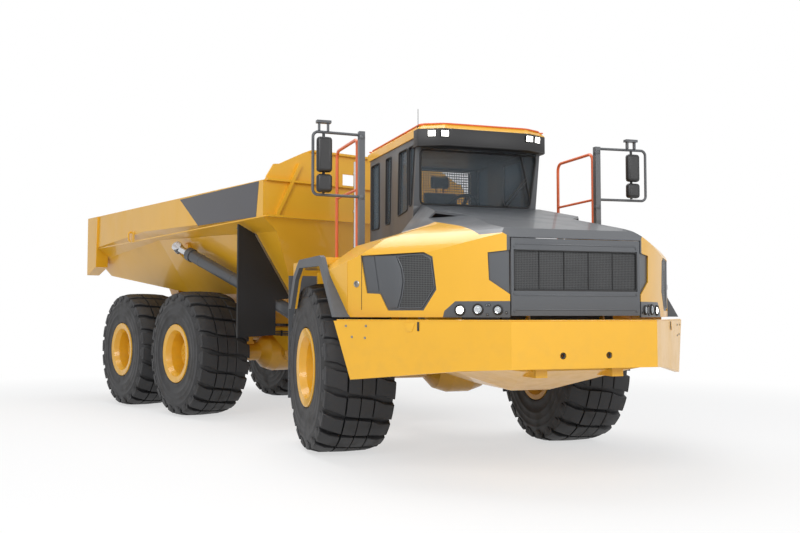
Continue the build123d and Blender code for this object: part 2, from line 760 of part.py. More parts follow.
door_gap = 8
with BuildPart() as door_frame:
    add(box_between((cab_left - cab_wall, door_front + door_gap, door_bottom + door_gap),
                    (cab_left, door_rear - door_gap, door_top - door_gap)))
    add(box_between((cab_left - 200, door_front + 70, 2760), (cab_left + 200, door_rear - 70, 3490)),
        mode=Mode.SUBTRACT)
    for z in door_hinge_z:
        add(box_between((cab_left, door_rear - 60, z - 28), (door_hinge_x + 9, door_rear - 10, z + 28)))
        add(box_between((cab_left + 8, door_rear - 20, z - 28), (door_hinge_x + 9, door_rear + 10, z + 28)))
        add(rod_between((door_hinge_x, door_rear, z - 60), (door_hinge_x, door_rear, z + 60), 9 + running_gap),
            mode=Mode.SUBTRACT)
front["cab_door"] = door_frame.part
with BuildPart() as door_glass:
    add(box_between((cab_left - cab_wall / 2 - glass, door_front + 70, 2760),
                    (cab_left - cab_wall / 2, door_rear - 70, 3490)))
front["cab_door_glass"] = door_glass.part

with BuildPart() as driver_seat:
    add(box_between((cab_x - 150, -80, cab_floor + cab_wall), (cab_x + 150, 220, 2420)))
    add(box_between((cab_x - 260, -200, 2420), (cab_x + 260, 320, 2570)))
    add(side_plate([(240, 2570), (380, 2570), (440, 3200), (330, 3200)], cab_x - 250, cab_x + 250))
    add(box_between((cab_x - 140, 330, 3220), (cab_x + 140, 420, 3400)))
    add(box_between((cab_x - 60, 355, 3190), (cab_x + 60, 400, 3230)))
front["driver_seat"] = driver_seat.part

wheel_centre = (cab_x, -400, 2900)
with BuildPart() as dashboard:
    add(side_plate([(cab_front + cab_wall, cab_floor + cab_wall), (cab_front + cab_wall, 2840), (-520, 2820),
                    (-470, 2680), (-560, cab_floor + cab_wall)], cab_right + 65, cab_left - 65))
    add(rod_between((cab_x, -560, 2700), wheel_centre, 30))
    with BuildSketch(Plane(origin=wheel_centre, z_dir=(0, 160, 200))):
        Circle(210)
        Circle(180, mode=Mode.SUBTRACT)
    extrude(amount=25)
    with BuildSketch(Plane(origin=wheel_centre, z_dir=(0, 160, 200))):
        Rectangle(380, 45)
    extrude(amount=20)
front["dashboard"] = dashboard.part

# ---------------------------------------------------------------- fittings on the front unit
post_x, post_y = 1487, -900
post_top = 3640
mirror_y = post_y - 50
mirror_arms = (             # side, reach from the middle, height of the top arm, height of the bottom arm
    (-1, 2050, 3600, 2910),
    (1, 2135, 3620, 3000),
)
mirror_x = 1932             # middle of the mirror heads
with BuildPart() as mirror_posts:
    for side, reach, arm_top, arm_bottom in mirror_arms:
        add(box_between((side * post_x - 33, post_y - 33, deck_top - 60),
                        (side * post_x + 33, post_y + 33, post_top)))
        add(bent_tube([(side * post_x, post_y, arm_top), (side * reach, mirror_y, arm_top),
                       (side * reach, mirror_y, arm_bottom), (side * post_x, post_y, arm_bottom)], 16, 60))
        for x in (mirror_x - 60, mirror_x + 40):
            add(box_between((side * x, mirror_y - 20, arm_top + 12),
                            (side * (x + 20), mirror_y + 20, arm_top + 115)))
        add(box_between((side * (mirror_x - 80), mirror_y - 35, arm_top + 95),
                        (side * (mirror_x + 80), mirror_y + 35, arm_top + 125)))
front["mirror_posts"] = mirror_posts.part

with BuildPart() as mirror_heads:
    for side, reach, arm_top, arm_bottom in mirror_arms:
        bar_low, bar_high = arm_bottom + 16 + running_gap, arm_top - 16 - running_gap
        split = bar_low + 0.31 * (bar_high - bar_low)
        for low, high in ((bar_low + 8, split - 10), (split + 10, bar_high - 45)):
            with BuildSketch(Plane.XY.offset(low)):
                with Locations((side * mirror_x, mirror_y - 35)):
                    RectangleRounded(170, 95, 40)
            extrude(amount=high - low)
        add(box_between((side * mirror_x - 20, mirror_y - 15, bar_low),
                        (side * mirror_x + 20, mirror_y + 15, bar_high)))
front["mirror_heads"] = mirror_heads.part

rail_radius = 19
with BuildPart() as handrails:
    for side in (-1, 1):
        add(bent_tube([(side * 1500, 100, deck_top - 60), (side * 1500, 100, 3580),
                       (side * 1500, -780, 3580), (side * 1500, -780, deck_top - 60)], rail_radius, 90))
        add(rod_between((side * 1500, -780, 3010), (side * 1500, 100, 3010), rail_radius * 0.8))
front["handrails"] = handrails.part

stack_x, stack_y = -960, 1010
with BuildPart() as exhaust:
    with Locations((stack_x, stack_y, (deck_top - 60 + 3620) / 2)):
        Cylinder(72, 3620 - deck_top + 60)
    with Locations((stack_x, stack_y, 3620)):
        Cylinder(60, 30, mode=Mode.SUBTRACT)
front["exhaust_stack"] = exhaust.part

step_levels = (1130, 1380, 1630)
with BuildPart() as steps:
    for y in (-1690, -1312):
        add(box_between((1440, y, step_levels[0] - 30), (1830, y + 12, 2000)))
    for z in step_levels:
        add(box_between((1440, -1690, z), (1830, -1300, z + 25)))
front["steps"] = steps.part

# ---------------------------------------------------------------- articulation
roll_tube_radius = 150
roll_housing_front = 2060
with BuildPart() as hitch:
    with Locations([(0, hitch_y, hitch_z)]):
        Cylinder(pin_radius, ear_gap + 2 * ear_thickness + 30)
        Cylinder(ear_radius - 20, ear_gap - 2)
    add(rod_between((0, hitch_y, hitch_z), (0, hitch_y + 760, hitch_z), roll_tube_radius))
    add(rod_between((0, hitch_y + ear_radius + 20, hitch_z), (0, roll_housing_front - 3, hitch_z),
                    roll_tube_radius + 60))
    eye_x, eye_y, eye_z = steer_eye
    eye_bottom = eye_z - steer_eye_height / 2 - moving_gap
    arm_top = eye_z - 1.15 * steer_barrel_radius - moving_gap
    with BuildSketch(Plane.XY.offset(arm_top - 60)):
        with BuildLine():
            Polyline((0, hitch_y - 80), (eye_x + 20, eye_y - 70), (eye_x + 70, eye_y),
                     (eye_x + 20, eye_y + 70), (0, eye_y + 40), (-eye_x - 20, eye_y + 70),
                     (-eye_x - 70, eye_y), (-eye_x - 20, eye_y - 70), close=True)
        make_face()
    extrude(amount=60)
    for side in (-1, 1):
        with Locations((side * eye_x, eye_y, (arm_top + eye_bottom) / 2)):
            Cylinder(45, eye_bottom - arm_top)
rear["hitch"] = hitch.part

# ---------------------------------------------------------------- rear chassis
rear_rail_front = 2250
rear_rail_low = 1265        # underside of the rails above the axles


def hoist_pin_line(side, end):
    """One end of a hoist cylinder and the direction, pointing outward, of the pins at both ends."""
    foot = Vector(side * hoist_foot[0], hoist_foot[1], hoist_foot[2])
    eye = (side * hoist_eye[0], hoist_eye[1], hoist_eye[2])
    square = (Vector(*eye) - foot).cross(Vector(*tipped(eye)) - foot).normalized()
    return Vector(side * end[0], end[1], end[2]), square if square.X * side > 0 else -square


with BuildPart() as rear_frame:
    for side in (-1, 1):
        x = side * rail_x
        add(side_plate([(rear_rail_front, rail_bottom), (4300, rail_bottom), (4700, rear_rail_low),
                        (8250, rear_rail_low), (8250, rail_top), (rear_rail_front, rail_top)],
                       x - rail_width / 2, x + rail_width / 2))
        ear = side_plate([(7850, rail_top - 20), (8250, rail_top - 20), (bed_pivot_y + 120, bed_pivot_z + 60),
                          (bed_pivot_y, bed_pivot_z + 110), (bed_pivot_y - 120, bed_pivot_z + 60)], 390, 460)
        add(ear if side > 0 else left_of(ear))
        foot, square = hoist_pin_line(side, hoist_foot)
        reach = (hoist_foot[0] - rail_x) / abs(square.X)
        add(rod_between(foot - square * reach, foot - square * (hoist_barrel_radius * 1.15 + moving_gap), 90))
        add(rod_between(foot - square * reach, foot + square * 90, hoist_pin_radius))
    for y in (2420, 3900, bogie_y, 8000):
        add(box_between((-rail_x, y - 70, rear_rail_low - 60), (rail_x, y + 70, rail_top - 30)))
    with BuildSketch(Plane.XZ.offset(-roll_housing_front)):
        with Locations([(0, hitch_z)]):
            Circle(290)
    extrude(amount=-320)
    add(box_between((-rail_x, rear_rail_front, rail_bottom), (rail_x, 2380, rail_top)))
    with BuildSketch(Plane.XZ.offset(-1700)):
        with Locations([(0, hitch_z)]):
            Circle(roll_tube_radius + running_gap)
    extrude(amount=-1000, mode=Mode.SUBTRACT)
    add(rod_between((-620, bed_pivot_y, bed_pivot_z), (620, bed_pivot_y, bed_pivot_z), bed_pin_radius))
    add(rod_between((-bogie_x - 120, bogie_y, 1230), (bogie_x + 120, bogie_y, 1230), 80))
rear["rear_frame"] = rear_frame.part

with BuildPart() as bogie_beams:
    for side in (-1, 1):
        add(side_plate([(middle_y - 190, 1130), (middle_y - 190, 1330), (bogie_y - 200, 1380),
                        (bogie_y + 200, 1380), (rear_y + 190, 1330), (rear_y + 190, 1130),
                        (bogie_y, 1040)],
                       side * bogie_x - 75, side * bogie_x + 75))
        for y in (middle_y, rear_y):
            add(box_between((side * bogie_x - 110, y - 170, 1120), (side * bogie_x + 110, y + 170, 1160)))
    add(rear_frame.part, mode=Mode.SUBTRACT)
    add(rear["middle_axle"], mode=Mode.SUBTRACT)
    add(rear["rear_axle"], mode=Mode.SUBTRACT)
rear["bogie_beams"] = bogie_beams.part

# ---------------------------------------------------------------- bed
bed_stations = (            # y, floor half width, floor z, shelf x, shelf z, crease z
    (bed_front, 1020, 1870, 1620, 2760, 2950),
    (6620, 1020, 1985, 1600, 2890, 3020),
    (bed_rear, 1450, 2360, 1700, 2640, 2840),
)


def bed_form(inset, raise_top):
    """Solid inside the bed's plates, one ruled loft through the stations."""
    with BuildPart() as form:
        for y, floor_half, floor_z, shelf_x, shelf_z, crease_z in bed_stations:
            with BuildSketch(Plane.XZ.offset(-y)):
                Polygon(*both_sides([
                    (floor_half, floor_z), (shelf_x, shelf_z), (bed_half_width, crease_z),
                    (bed_half_width, bed_top + raise_top)]), align=None)
                if inset:
                    offset(amount=-inset, kind=Kind.INTERSECTION)
        loft(ruled=True)
    return form.part


with BuildPart() as tub:
    add(bed_form(0, 0))
    add(bed_form(bed_wall, 300), mode=Mode.SUBTRACT)
    add(side_plate([(headboard_foot_y, 1700), (headboard_foot_y, 1870), (bed_front + 80, 2950),
                    (bed_front + 80, 4000), (2000, 4000), (2000, 1700)], -2500, 2500), mode=Mode.SUBTRACT)
    for side in (-1, 1):
        x = side * (bed_half_width - 130)
        add(box_between((x - 130, bed_front + 110, bed_top - 90), (x + 130, bed_rear, bed_top)))
        add(side_plate([(8750, 2500), (9200, 2360), (9200, bed_top), (8700, bed_top)],
                       side * 1815 - 115, side * 1815 + 115))

guard_outline = [(bed_half_width - bed_wall, bed_top), (1840, 3520), (1735, 3690), (1650, 3700), (1250, 3895),
                 (1140, guard_top), (0, guard_top)]
with BuildPart() as headboard:
    add(side_plate([(headboard_foot_y, 1870), (bed_front + 80, 2950), (bed_front + 80, bed_top),
                    (bed_front + 110, bed_top), (bed_front + 110, 2955), (headboard_foot_y + 30, 1870)], -2500, 2500))
    add(bed_form(bed_wall, bed_wall), mode=Mode.INTERSECT)
    add(cross_plate(both_sides(guard_outline), bed_front + 80, bed_front + 110))
    for z, half in ((2950, 1860), (bed_top, 1860), (guard_top - 30, 1140)):
        add(box_between((-half, bed_front + 20, z), (half, bed_front + 80, z + 30)))
    for side in (-1, 1):
        add(cross_plate([(side * 1305, 3710), (side * 1352, 3730), (side * 1735, 2960), (side * 1683, 2960)],
                        bed_front + 25, bed_front + 80))
        add(box_between((side * 270, bed_front, bed_top + 40), (side * 580, bed_front + 200, bed_top + 205)),
            mode=Mode.SUBTRACT)
rear["bed_headboard"] = headboard.part

floor_split = 1005
with BuildPart() as bed_floor:
    add(tub.part)
    add(box_between((-floor_split, 0, 0), (floor_split, 12000, 5000)), mode=Mode.INTERSECT)
    for side in (-1, 1):
        x = side * 300
        add(side_plate([(3300, bed_rail_bottom), (7880, bed_rail_bottom), (8000, 1800), (8200, 2190),
                        (3300, 1900)], x - 45, x + 45))
        x = side * 555
        add(side_plate([(8000, 2170), (bed_pivot_y - 130, bed_pivot_z - 40), (bed_pivot_y, bed_pivot_z - 120),
                        (bed_pivot_y + 130, bed_pivot_z - 40), (8500, 2230)], x - 50, x + 50))
    with Locations([(0, bed_pivot_y, bed_pivot_z)]):
        Cylinder(bed_pin_radius + running_gap, 2000, rotation=(0, 90, 0), mode=Mode.SUBTRACT)
rear["bed_floor"] = bed_floor.part

with BuildPart() as bed_side_right:
    add(tub.part)
    add(box_between((-3000, 0, 0), (-floor_split, 12000, 5000)), mode=Mode.INTERSECT)
    eye_x, eye_y, eye_z = hoist_eye
    add(box_between((-1580, eye_y - 60, eye_z - 60), (-1470, eye_y + 120, eye_z + 60)))
    end, square = hoist_pin_line(-1, hoist_eye)
    eye_reach = hypot(hoist_eye_radius, hoist_eye_width / 2)
    add(rod_between(end - square * 230, end - square * (eye_reach + 3 * moving_gap), 50))
rear["bed_side_right"] = bed_side_right.part
rear["bed_side_left"] = left_of(bed_side_right.part)

with BuildPart() as bed_flaps:
    for side in (-1, 1):
        add(cross_plate([(side * 1900, 1280), (side * 1900, 2900), (side * 1600, 2760), (side * 1000, 1850),
                         (side * 1280, 1820), (side * 1280, 1310)], 3225, 3260))
    add(bed_form(0, 0), mode=Mode.SUBTRACT)
rear["bed_flaps"] = bed_flaps.part


# ---------------------------------------------------------------- cylinders
def cylinder_barrel(foot, eye, radius, end, bore, foot_eye, pin, pin_direction):
    """Barrel from its foot eye to a distance `end`, bored for the rod and for the foot pin."""
    along = (eye - foot).normalized()
    with BuildPart() as barrel:
        add(rod_between(foot, foot + along * radius * 2.3, radius * 0.55))
        add(rod_between(foot + along * radius * 1.1, foot + along * end, radius))
        add(rod_between(foot + along * (end - radius), foot + along * end, radius * 1.15))
        add(rod_between(foot - pin_direction * foot_eye / 2, foot + pin_direction * foot_eye / 2, radius))
        add(rod_between(foot - pin_direction * foot_eye, foot + pin_direction * foot_eye, pin + running_gap),
            mode=Mode.SUBTRACT)
        add(rod_between(foot + along * radius * 2.2, foot + along * 2 * end, bore + running_gap),
            mode=Mode.SUBTRACT)
    return barrel.part


def cylinder_rod(foot, eye, length, radius, eye_radius, eye_width, pin_direction):
    """Rod reaching back towards the foot from its own eye."""
    along = (eye - foot).normalized()
    with BuildPart() as rod:
        add(rod_between(eye - along * length, eye, radius))
        add(rod_between(eye - pin_direction * eye_width / 2, eye + pin_direction * eye_width / 2, eye_radius))
    return rod.part


rod_stop = 20               # space left between a closed rod and the bottom of its barrel
steer_eye_radius = 60
upward = Vector(0, 0, 1)
steer_foot_left = Vector(*steer_foot)
steer_shortest = min((Vector(*swung(steer_eye, angle)) - steer_foot_left).length
                     for angle in (-articulation, articulation))
for side, side_name in ((-1, "right"), (1, "left")):
    foot, square = hoist_pin_line(side, hoist_foot)
    eye, square = hoist_pin_line(side, hoist_eye)
    length = (eye - foot).length
    rear[f"hoist_barrel_{side_name}"] = cylinder_barrel(
        foot, eye, hoist_barrel_radius, length - 300, hoist_rod_radius, hoist_eye_width, hoist_pin_radius, square)
    rear[f"hoist_rod_{side_name}"] = cylinder_rod(
        foot, eye, length - 2.2 * hoist_barrel_radius - rod_stop, hoist_rod_radius, hoist_eye_radius,
        hoist_eye_width, square)
    foot = Vector(side * steer_foot[0], steer_foot[1], steer_foot[2])
    eye = Vector(*turned((side * steer_eye[0], steer_eye[1], steer_eye[2])))
    front[f"steer_barrel_{side_name}"] = cylinder_barrel(
        foot, eye, steer_barrel_radius, steer_shortest - steer_eye_radius - rod_stop, steer_rod_radius,
        steer_eye_height, steer_pin_radius, upward)
    front[f"steer_rod_{side_name}"] = cylinder_rod(
        foot, eye, steer_shortest - 2.2 * steer_barrel_radius - rod_stop, steer_rod_radius, steer_eye_radius,
        steer_eye_height, upward)

# ---------------------------------------------------------------- bend, centre and write
pieces = dict(front)
pin_axis = Axis((0, hitch_y, 0), (0, 0, 1))
for name, piece in rear.items():
    pieces[name] = piece.rotate(pin_axis, bend)

boxes = [piece.bounding_box() for piece in pieces.values()]
shift_x = -(min(box.min.X for box in boxes) + max(box.max.X for box in boxes)) / 2
shift_y = -(min(box.min.Y for box in boxes) + max(box.max.Y for box in boxes)) / 2

os.makedirs("parts", exist_ok=True)
for name, piece in pieces.items():
    placed = piece.moved(Location((shift_x, shift_y, 0)))
    placed.label = name
    export_step(placed, f"parts/{name}.step")
print("origin shift", round(shift_x, 3), round(shift_y, 3))
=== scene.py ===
"""Looks of an articulated six-wheel dump truck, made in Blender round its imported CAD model.

Everything is in metres. The front unit is described from the middle of the front axle on the ground,
with x to the truck's left, y rearward and z up. The rear unit is described the same way, as if it
stood straight behind the front unit, and settle() then turns it about the articulation pin.
"""

import json
from math import atan2, cos, pi, radians, sin

import bpy
from mathutils import Matrix, Vector


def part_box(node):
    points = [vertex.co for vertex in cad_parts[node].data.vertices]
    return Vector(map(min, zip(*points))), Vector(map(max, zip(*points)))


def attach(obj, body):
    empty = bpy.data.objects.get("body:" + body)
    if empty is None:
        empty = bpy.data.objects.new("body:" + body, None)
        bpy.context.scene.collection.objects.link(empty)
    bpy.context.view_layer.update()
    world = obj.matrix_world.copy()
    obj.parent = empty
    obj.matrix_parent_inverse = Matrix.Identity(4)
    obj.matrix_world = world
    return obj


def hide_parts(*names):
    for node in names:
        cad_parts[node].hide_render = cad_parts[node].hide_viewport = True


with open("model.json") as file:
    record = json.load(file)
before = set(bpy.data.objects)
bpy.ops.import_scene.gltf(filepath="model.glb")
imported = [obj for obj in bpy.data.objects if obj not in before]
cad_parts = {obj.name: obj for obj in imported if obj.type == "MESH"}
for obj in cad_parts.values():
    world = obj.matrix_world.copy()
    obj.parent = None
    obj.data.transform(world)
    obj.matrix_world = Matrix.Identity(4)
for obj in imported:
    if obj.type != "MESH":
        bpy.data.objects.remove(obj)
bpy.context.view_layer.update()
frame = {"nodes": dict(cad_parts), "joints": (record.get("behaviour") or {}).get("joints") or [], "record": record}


# ---------------- places read from the frame
def middle(node):
    """Centre of a CAD node's box."""
    low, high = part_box(node)
    return (low + high) / 2


front_right, front_left = middle("tyre_front_right"), middle("tyre_front_left")
across = middle("tyre_rear_left") - middle("tyre_rear_right")
bend = atan2(across.y, across.x)
origin = Vector(((front_right.x + front_left.x) / 2, front_right.y, 0))
steer_joint = next(joint for joint in frame["joints"] if joint["name"] == "steer")
pin = Vector(steer_joint["pos_m"])
front_place = Matrix.Translation(origin)
rear_place = (Matrix.Translation((pin.x, pin.y, 0)) @ Matrix.Rotation(bend, 4, "Z")
              @ Matrix.Translation((-pin.x, -pin.y, 0)) @ front_place)
mirror_x = Matrix.Scale(-1, 4, (1, 0, 0))
unmoved = Matrix.Identity(4)
front_bodies = ("front_unit", "hood", "grille", "cab_door")
up, forward, rearward, along_axle = (0, 0, 1), (0, -1, 0), (0, 1, 0), (1, 0, 0)


# ---------------- modelling
def alone(*shapes):
    """Selects these objects and nothing else, in object mode."""
    if bpy.context.object and bpy.context.object.mode != "OBJECT":
        bpy.ops.object.mode_set(mode="OBJECT")
    bpy.ops.object.select_all(action="DESELECT")
    for shape in shapes:
        shape.select_set(True)
    bpy.context.view_layer.objects.active = shapes[0]


def editing(shape, kind="FACE"):
    """Opens edit mode on a shape with everything selected."""
    alone(shape)
    bpy.ops.object.mode_set(mode="EDIT")
    bpy.ops.mesh.select_mode(type=kind)
    bpy.ops.mesh.select_all(action="SELECT")


def finished_editing(tidy=False):
    """Leaves edit mode, after merging doubles and turning the faces outwards where asked."""
    bpy.ops.mesh.select_all(action="SELECT")
    if tidy:
        bpy.ops.mesh.remove_doubles(threshold=0.0002)
    bpy.ops.mesh.normals_make_consistent(inside=False)
    bpy.ops.object.mode_set(mode="OBJECT")


def pick(elements, wanted):
    """In edit mode, selects the edges or vertices that are wanted and nothing else."""
    bpy.ops.mesh.select_all(action="DESELECT")
    bpy.ops.object.mode_set(mode="OBJECT")
    for element in elements:
        element.select = wanted(element)
    bpy.ops.object.mode_set(mode="EDIT")


def loop_of(points, fill="NGON"):
    """A ring of vertices at these points, as one flat face or as a bare closed wire."""
    bpy.ops.object.select_all(action="DESELECT")
    bpy.ops.mesh.primitive_circle_add(vertices=len(points), fill_type=fill)
    shape = bpy.context.object
    for vertex, point in zip(shape.data.vertices, points):
        vertex.co = point
    return shape


def wire(points, closed=False):
    """A chain of straight edges through these points."""
    if len(points) == 2:
        points = [points[0], (Vector(points[0]) + Vector(points[1])) / 2, points[1]]
    chain = loop_of(points, "NOTHING")
    if not closed:
        editing(chain, "EDGE")
        pick(chain.data.edges, lambda edge: set(edge.vertices) == {0, len(points) - 1})
        bpy.ops.mesh.delete(type="EDGE")
        bpy.ops.object.mode_set(mode="OBJECT")
    return chain


def rounded(shape, edge=0.0, segments=2, angle=35):
    """Rounds a shape's sharp edges and shades what is left smooth."""
    alone(shape)
    if edge:
        bevel = shape.modifiers.new("edges", "BEVEL")
        bevel.width, bevel.segments, bevel.angle_limit = edge, segments, radians(30)
        bpy.ops.object.modifier_apply(modifier=bevel.name)
    bpy.ops.object.shade_smooth_by_angle(angle=radians(angle))
    return shape


def slab(points, depth, edge=0.0):
    """Plate with this outline and a thickness given as a vector."""
    shape = loop_of(points)
    editing(shape)
    bpy.ops.mesh.extrude_region_move(TRANSFORM_OT_translate={"value": tuple(depth)})
    finished_editing()
    return rounded(shape, edge)


def block(low, high, edge=0.0):
    """Square-sided body between two corners with rounded edges."""
    outline = [(low[0], low[1], low[2]), (high[0], low[1], low[2]), (high[0], high[1], low[2]),
               (low[0], high[1], low[2])]
    return slab(outline, (0, 0, high[2] - low[2]), edge)


def across_pane(x0, x1, y, z0, z1):
    """Corners of an upright rectangle that faces along the truck."""
    return [(x0, y, z0), (x1, y, z0), (x1, y, z1), (x0, y, z1)]


def side_pane(x, y0, y1, z0, z1):
    """Corners of an upright rectangle that faces sideways."""
    return [(x, y0, z0), (x, y1, z0), (x, y1, z1), (x, y0, z1)]


def ring_points(centre, direction, radius, sides):
    """Corners of a regular outline square to a direction."""
    turn = Vector(direction).to_track_quat("Z", "Y")
    angles = [2 * pi * step / sides for step in range(sides)]
    return [Vector(centre) + turn @ Vector((radius * cos(a), radius * sin(a), 0)) for a in angles]


def rod(start, end, radius, edge=0.0, sides=20):
    """Round or many-sided bar between two points."""
    along = Vector(end) - Vector(start)
    return slab(ring_points(start, along, radius, sides), along, edge)


def tube(points, radius, corner=0.0, sides=8, closed=False):
    """Round bar along straight runs with rounded corners."""
    chain = wire(points, closed)
    if corner:
        editing(chain, "VERT")
        if not closed:
            pick(chain.data.vertices, lambda vertex: 0 < vertex.index < len(points) - 1)
        bpy.ops.mesh.bevel(offset=corner, segments=5, affect="VERTICES")
        bpy.ops.object.mode_set(mode="OBJECT")
    alone(chain)
    bpy.ops.object.convert(target="CURVE")
    pipe = bpy.context.object
    pipe.data.bevel_depth = radius
    pipe.data.bevel_resolution = sides // 2 - 2
    pipe.data.use_fill_caps = True
    bpy.ops.object.convert(target="MESH")
    return rounded(bpy.context.object)


def spun(section, axis, steps, closed=False):
    """Turns a section all the way round an axis through the origin."""
    chain = wire(section, closed)
    editing(chain, "VERT")
    bpy.ops.mesh.spin(steps=steps, angle=2 * pi, center=(0, 0, 0), axis=axis)
    finished_editing(tidy=True)
    return rounded(chain)


def joined(*shapes):
    """Several shapes made one."""
    alone(*shapes)
    if len(shapes) > 1:
        bpy.ops.object.join()
    return bpy.context.object


def twin(shape, place):
    """A copy of a shape, with its own mesh, moved by a matrix."""
    alone(shape)
    bpy.ops.object.duplicate()
    made = bpy.context.object
    made.data.transform(place)
    if place.determinant() < 0:
        made.data.flip_normals()
    return made


def copies(shape, places):
    """Copies of a shape, each moved by a matrix, joined into one in its stead."""
    made = joined(*[twin(shape, place) for place in places])
    bpy.data.objects.remove(shape)
    return made


def facing(point, way):
    """Place of a fitting modelled at the origin to face along z."""
    return Matrix.Translation(Vector(point)) @ Vector(way).to_track_quat("Z", "Y").to_matrix().to_4x4()


def placed(shape, point, way):
    """A fitting modelled at the origin, carried to a point and turned to face a way."""
    return copies(shape, [facing(point, way)])


def both_sides(*shapes):
    """Shapes on one side together with their mirror images on the other."""
    return copies(joined(*shapes), [unmoved, mirror_x])


def settle(name, shape, body, finish):
    """Names a finished shape, carries it into the frame, paints it and ties it to its body.

    A wheel's pieces come already in place.
    """
    place = front_place if body in front_bodies else rear_place
    if body.startswith("wheel_"):
        place = unmoved
    shape.name = name
    shape.data.name = name
    shape.data.transform(place @ shape.matrix_world)
    shape.matrix_world = unmoved
    shape.data.materials.clear()
    shape.data.materials.append(finishes[finish])
    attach(shape, body)
    return shape


# ---------------- materials
class Value:
    """A number that varies over a surface, so that shader maths reads as an expression."""

    def __init__(self, nodes, socket):
        self.nodes = nodes
        self.socket = socket

    def maths(self, operation, *terms):
        return self.nodes.node("ShaderNodeMath", {"operation": operation}, dict(enumerate(terms)))

    def __add__(self, other):
        return self.maths("ADD", self, other)

    def __sub__(self, other):
        return self.maths("SUBTRACT", self, other)

    def __rsub__(self, other):
        return self.maths("SUBTRACT", other, self)

    def __mul__(self, other):
        return self.maths("MULTIPLY", self, other)

    __radd__ = __add__
    __rmul__ = __mul__

    def absolute(self):
        return self.maths("ABSOLUTE", self)

    def sine(self):
        return self.maths("SINE", self)

    def root(self):
        return self.maths("SQRT", self)

    def either(self, other):
        return self.maths("MAXIMUM", self, other)

    def between(self, low, high):
        """0 below low, 1 above high and smooth from one to the other."""
        sockets = {0: self, 1: low, 2: high}
        return self.nodes.node("ShaderNodeMapRange", {"interpolation_type": "SMOOTHSTEP"}, sockets)


class Nodes:
    """A node tree that grows by one node at a time."""

    def __init__(self, tree):
        self.tree = tree

    def node(self, kind, settings, sockets, output=0):
        """Adds a node: its settings first, then the values or links of its sockets."""
        made = self.tree.nodes.new(kind)
        for key, setting in settings.items():
            setattr(made, key, setting)
        for key, value in sockets.items():
            if isinstance(value, Value):
                self.tree.links.new(value.socket, made.inputs[key])
            else:
                made.inputs[key].default_value = value
        return Value(self, made.outputs[output])

    def sees_background(self):
        """1 for rays from the camera, off shiny surfaces and through glass."""
        rays = [self.node("ShaderNodeLightPath", {}, {}, name)
                for name in ("Is Camera Ray", "Is Glossy Ray", "Is Transmission Ray")]
        return rays[0].either(rays[1]).either(rays[2])

    def show(self, factor, plain, white, output):
        """Sends out the plain node where the factor is 0 and the white one where it is 1."""
        sockets = {0: factor, 1: Value(self, plain), 2: Value(self, white)}
        blend = self.node("ShaderNodeMixShader", {}, sockets)
        self.tree.links.new(blend.socket, self.tree.nodes[output].inputs[0])


class Shader(Nodes):
    """One material: its surface and the nodes that feed it."""

    def __init__(self, name, colour, roughness, **constants):
        self.material = bpy.data.materials.new(name)
        self.material.use_nodes = True
        super().__init__(self.material.node_tree)
        self.surface = self.tree.nodes["Principled BSDF"]
        self.surface.inputs["Base Color"].default_value = (*colour, 1)
        self.surface.inputs["Roughness"].default_value = roughness
        for socket, value in constants.items():
            self.surface.inputs[socket.replace("_", " ").title()].default_value = value
        self.place = self.node("ShaderNodeTexCoord", {}, {}, "Object")

    def feed(self, socket, value):
        self.tree.links.new(value.socket, self.surface.inputs[socket])

    def noise(self, scale, detail=3.0, stretch=(1, 1, 1)):
        place = self.place
        if stretch != (1, 1, 1):
            place = self.node("ShaderNodeMapping", {}, {"Vector": place, "Scale": stretch})
        return self.node("ShaderNodeTexNoise", {}, {"Vector": place, "Scale": scale, "Detail": detail})

    def axis(self, name):
        return self.node("ShaderNodeSeparateXYZ", {}, {0: self.place}, name)

    def mix(self, factor, base, other):
        """Colour that goes from base to other with the factor."""
        shades = {6: base, 7: other}
        shades = {key: shade if isinstance(shade, Value) else (*shade, 1) for key, shade in shades.items()}
        return self.node("ShaderNodeMix", {"data_type": "RGBA"}, {0: factor, **shades}, 2)

    def bump(self, height, strength, distance):
        sockets = {"Height": height, "Strength": strength, "Distance": distance}
        self.feed("Normal", self.node("ShaderNodeBump", {}, sockets))


dust = (0.20, 0.15, 0.09)


def darker(colour, share):
    return tuple(share * part for part in colour)


def painted(name, colour, roughness, dusty, **constants):
    """Sprayed paint: orange peel, faint mottling and dust that settles low on the truck."""
    shader = Shader(name, colour, roughness, **constants)
    tone = shader.mix(shader.noise(1.7, 5).between(0.35, 0.75) * 0.12, colour, darker(colour, 0.72))
    low_down = 1 - shader.axis("Z").between(0.3, 1.9)
    specks = shader.noise(9, 6).between(0.38, 0.72)
    shader.feed("Base Color", shader.mix(low_down * specks * dusty, tone, dust))
    smears = shader.noise(3.1, 6, (1, 1, 0.35)).between(0.4, 0.8)
    shader.feed("Roughness", roughness + smears * 0.12 + low_down * specks * 0.15)
    shader.bump(shader.noise(160, 2), 0.05, 0.002)
    return shader.material


def moulded(name, colour, roughness, grain, depth, **constants):
    """Moulded plastic or rubber with a grain and slightly greyed patches."""
    shader = Shader(name, colour, roughness, **constants)
    patches = shader.noise(2.3, 5).between(0.4, 0.8)
    worn = tuple(1.9 * part + 0.004 for part in colour)
    shader.feed("Base Color", shader.mix(patches * 0.35, colour, worn))
    shader.feed("Roughness", roughness + patches * 0.1)
    shader.bump(shader.noise(grain, 3), 0.25, depth)
    return shader.material


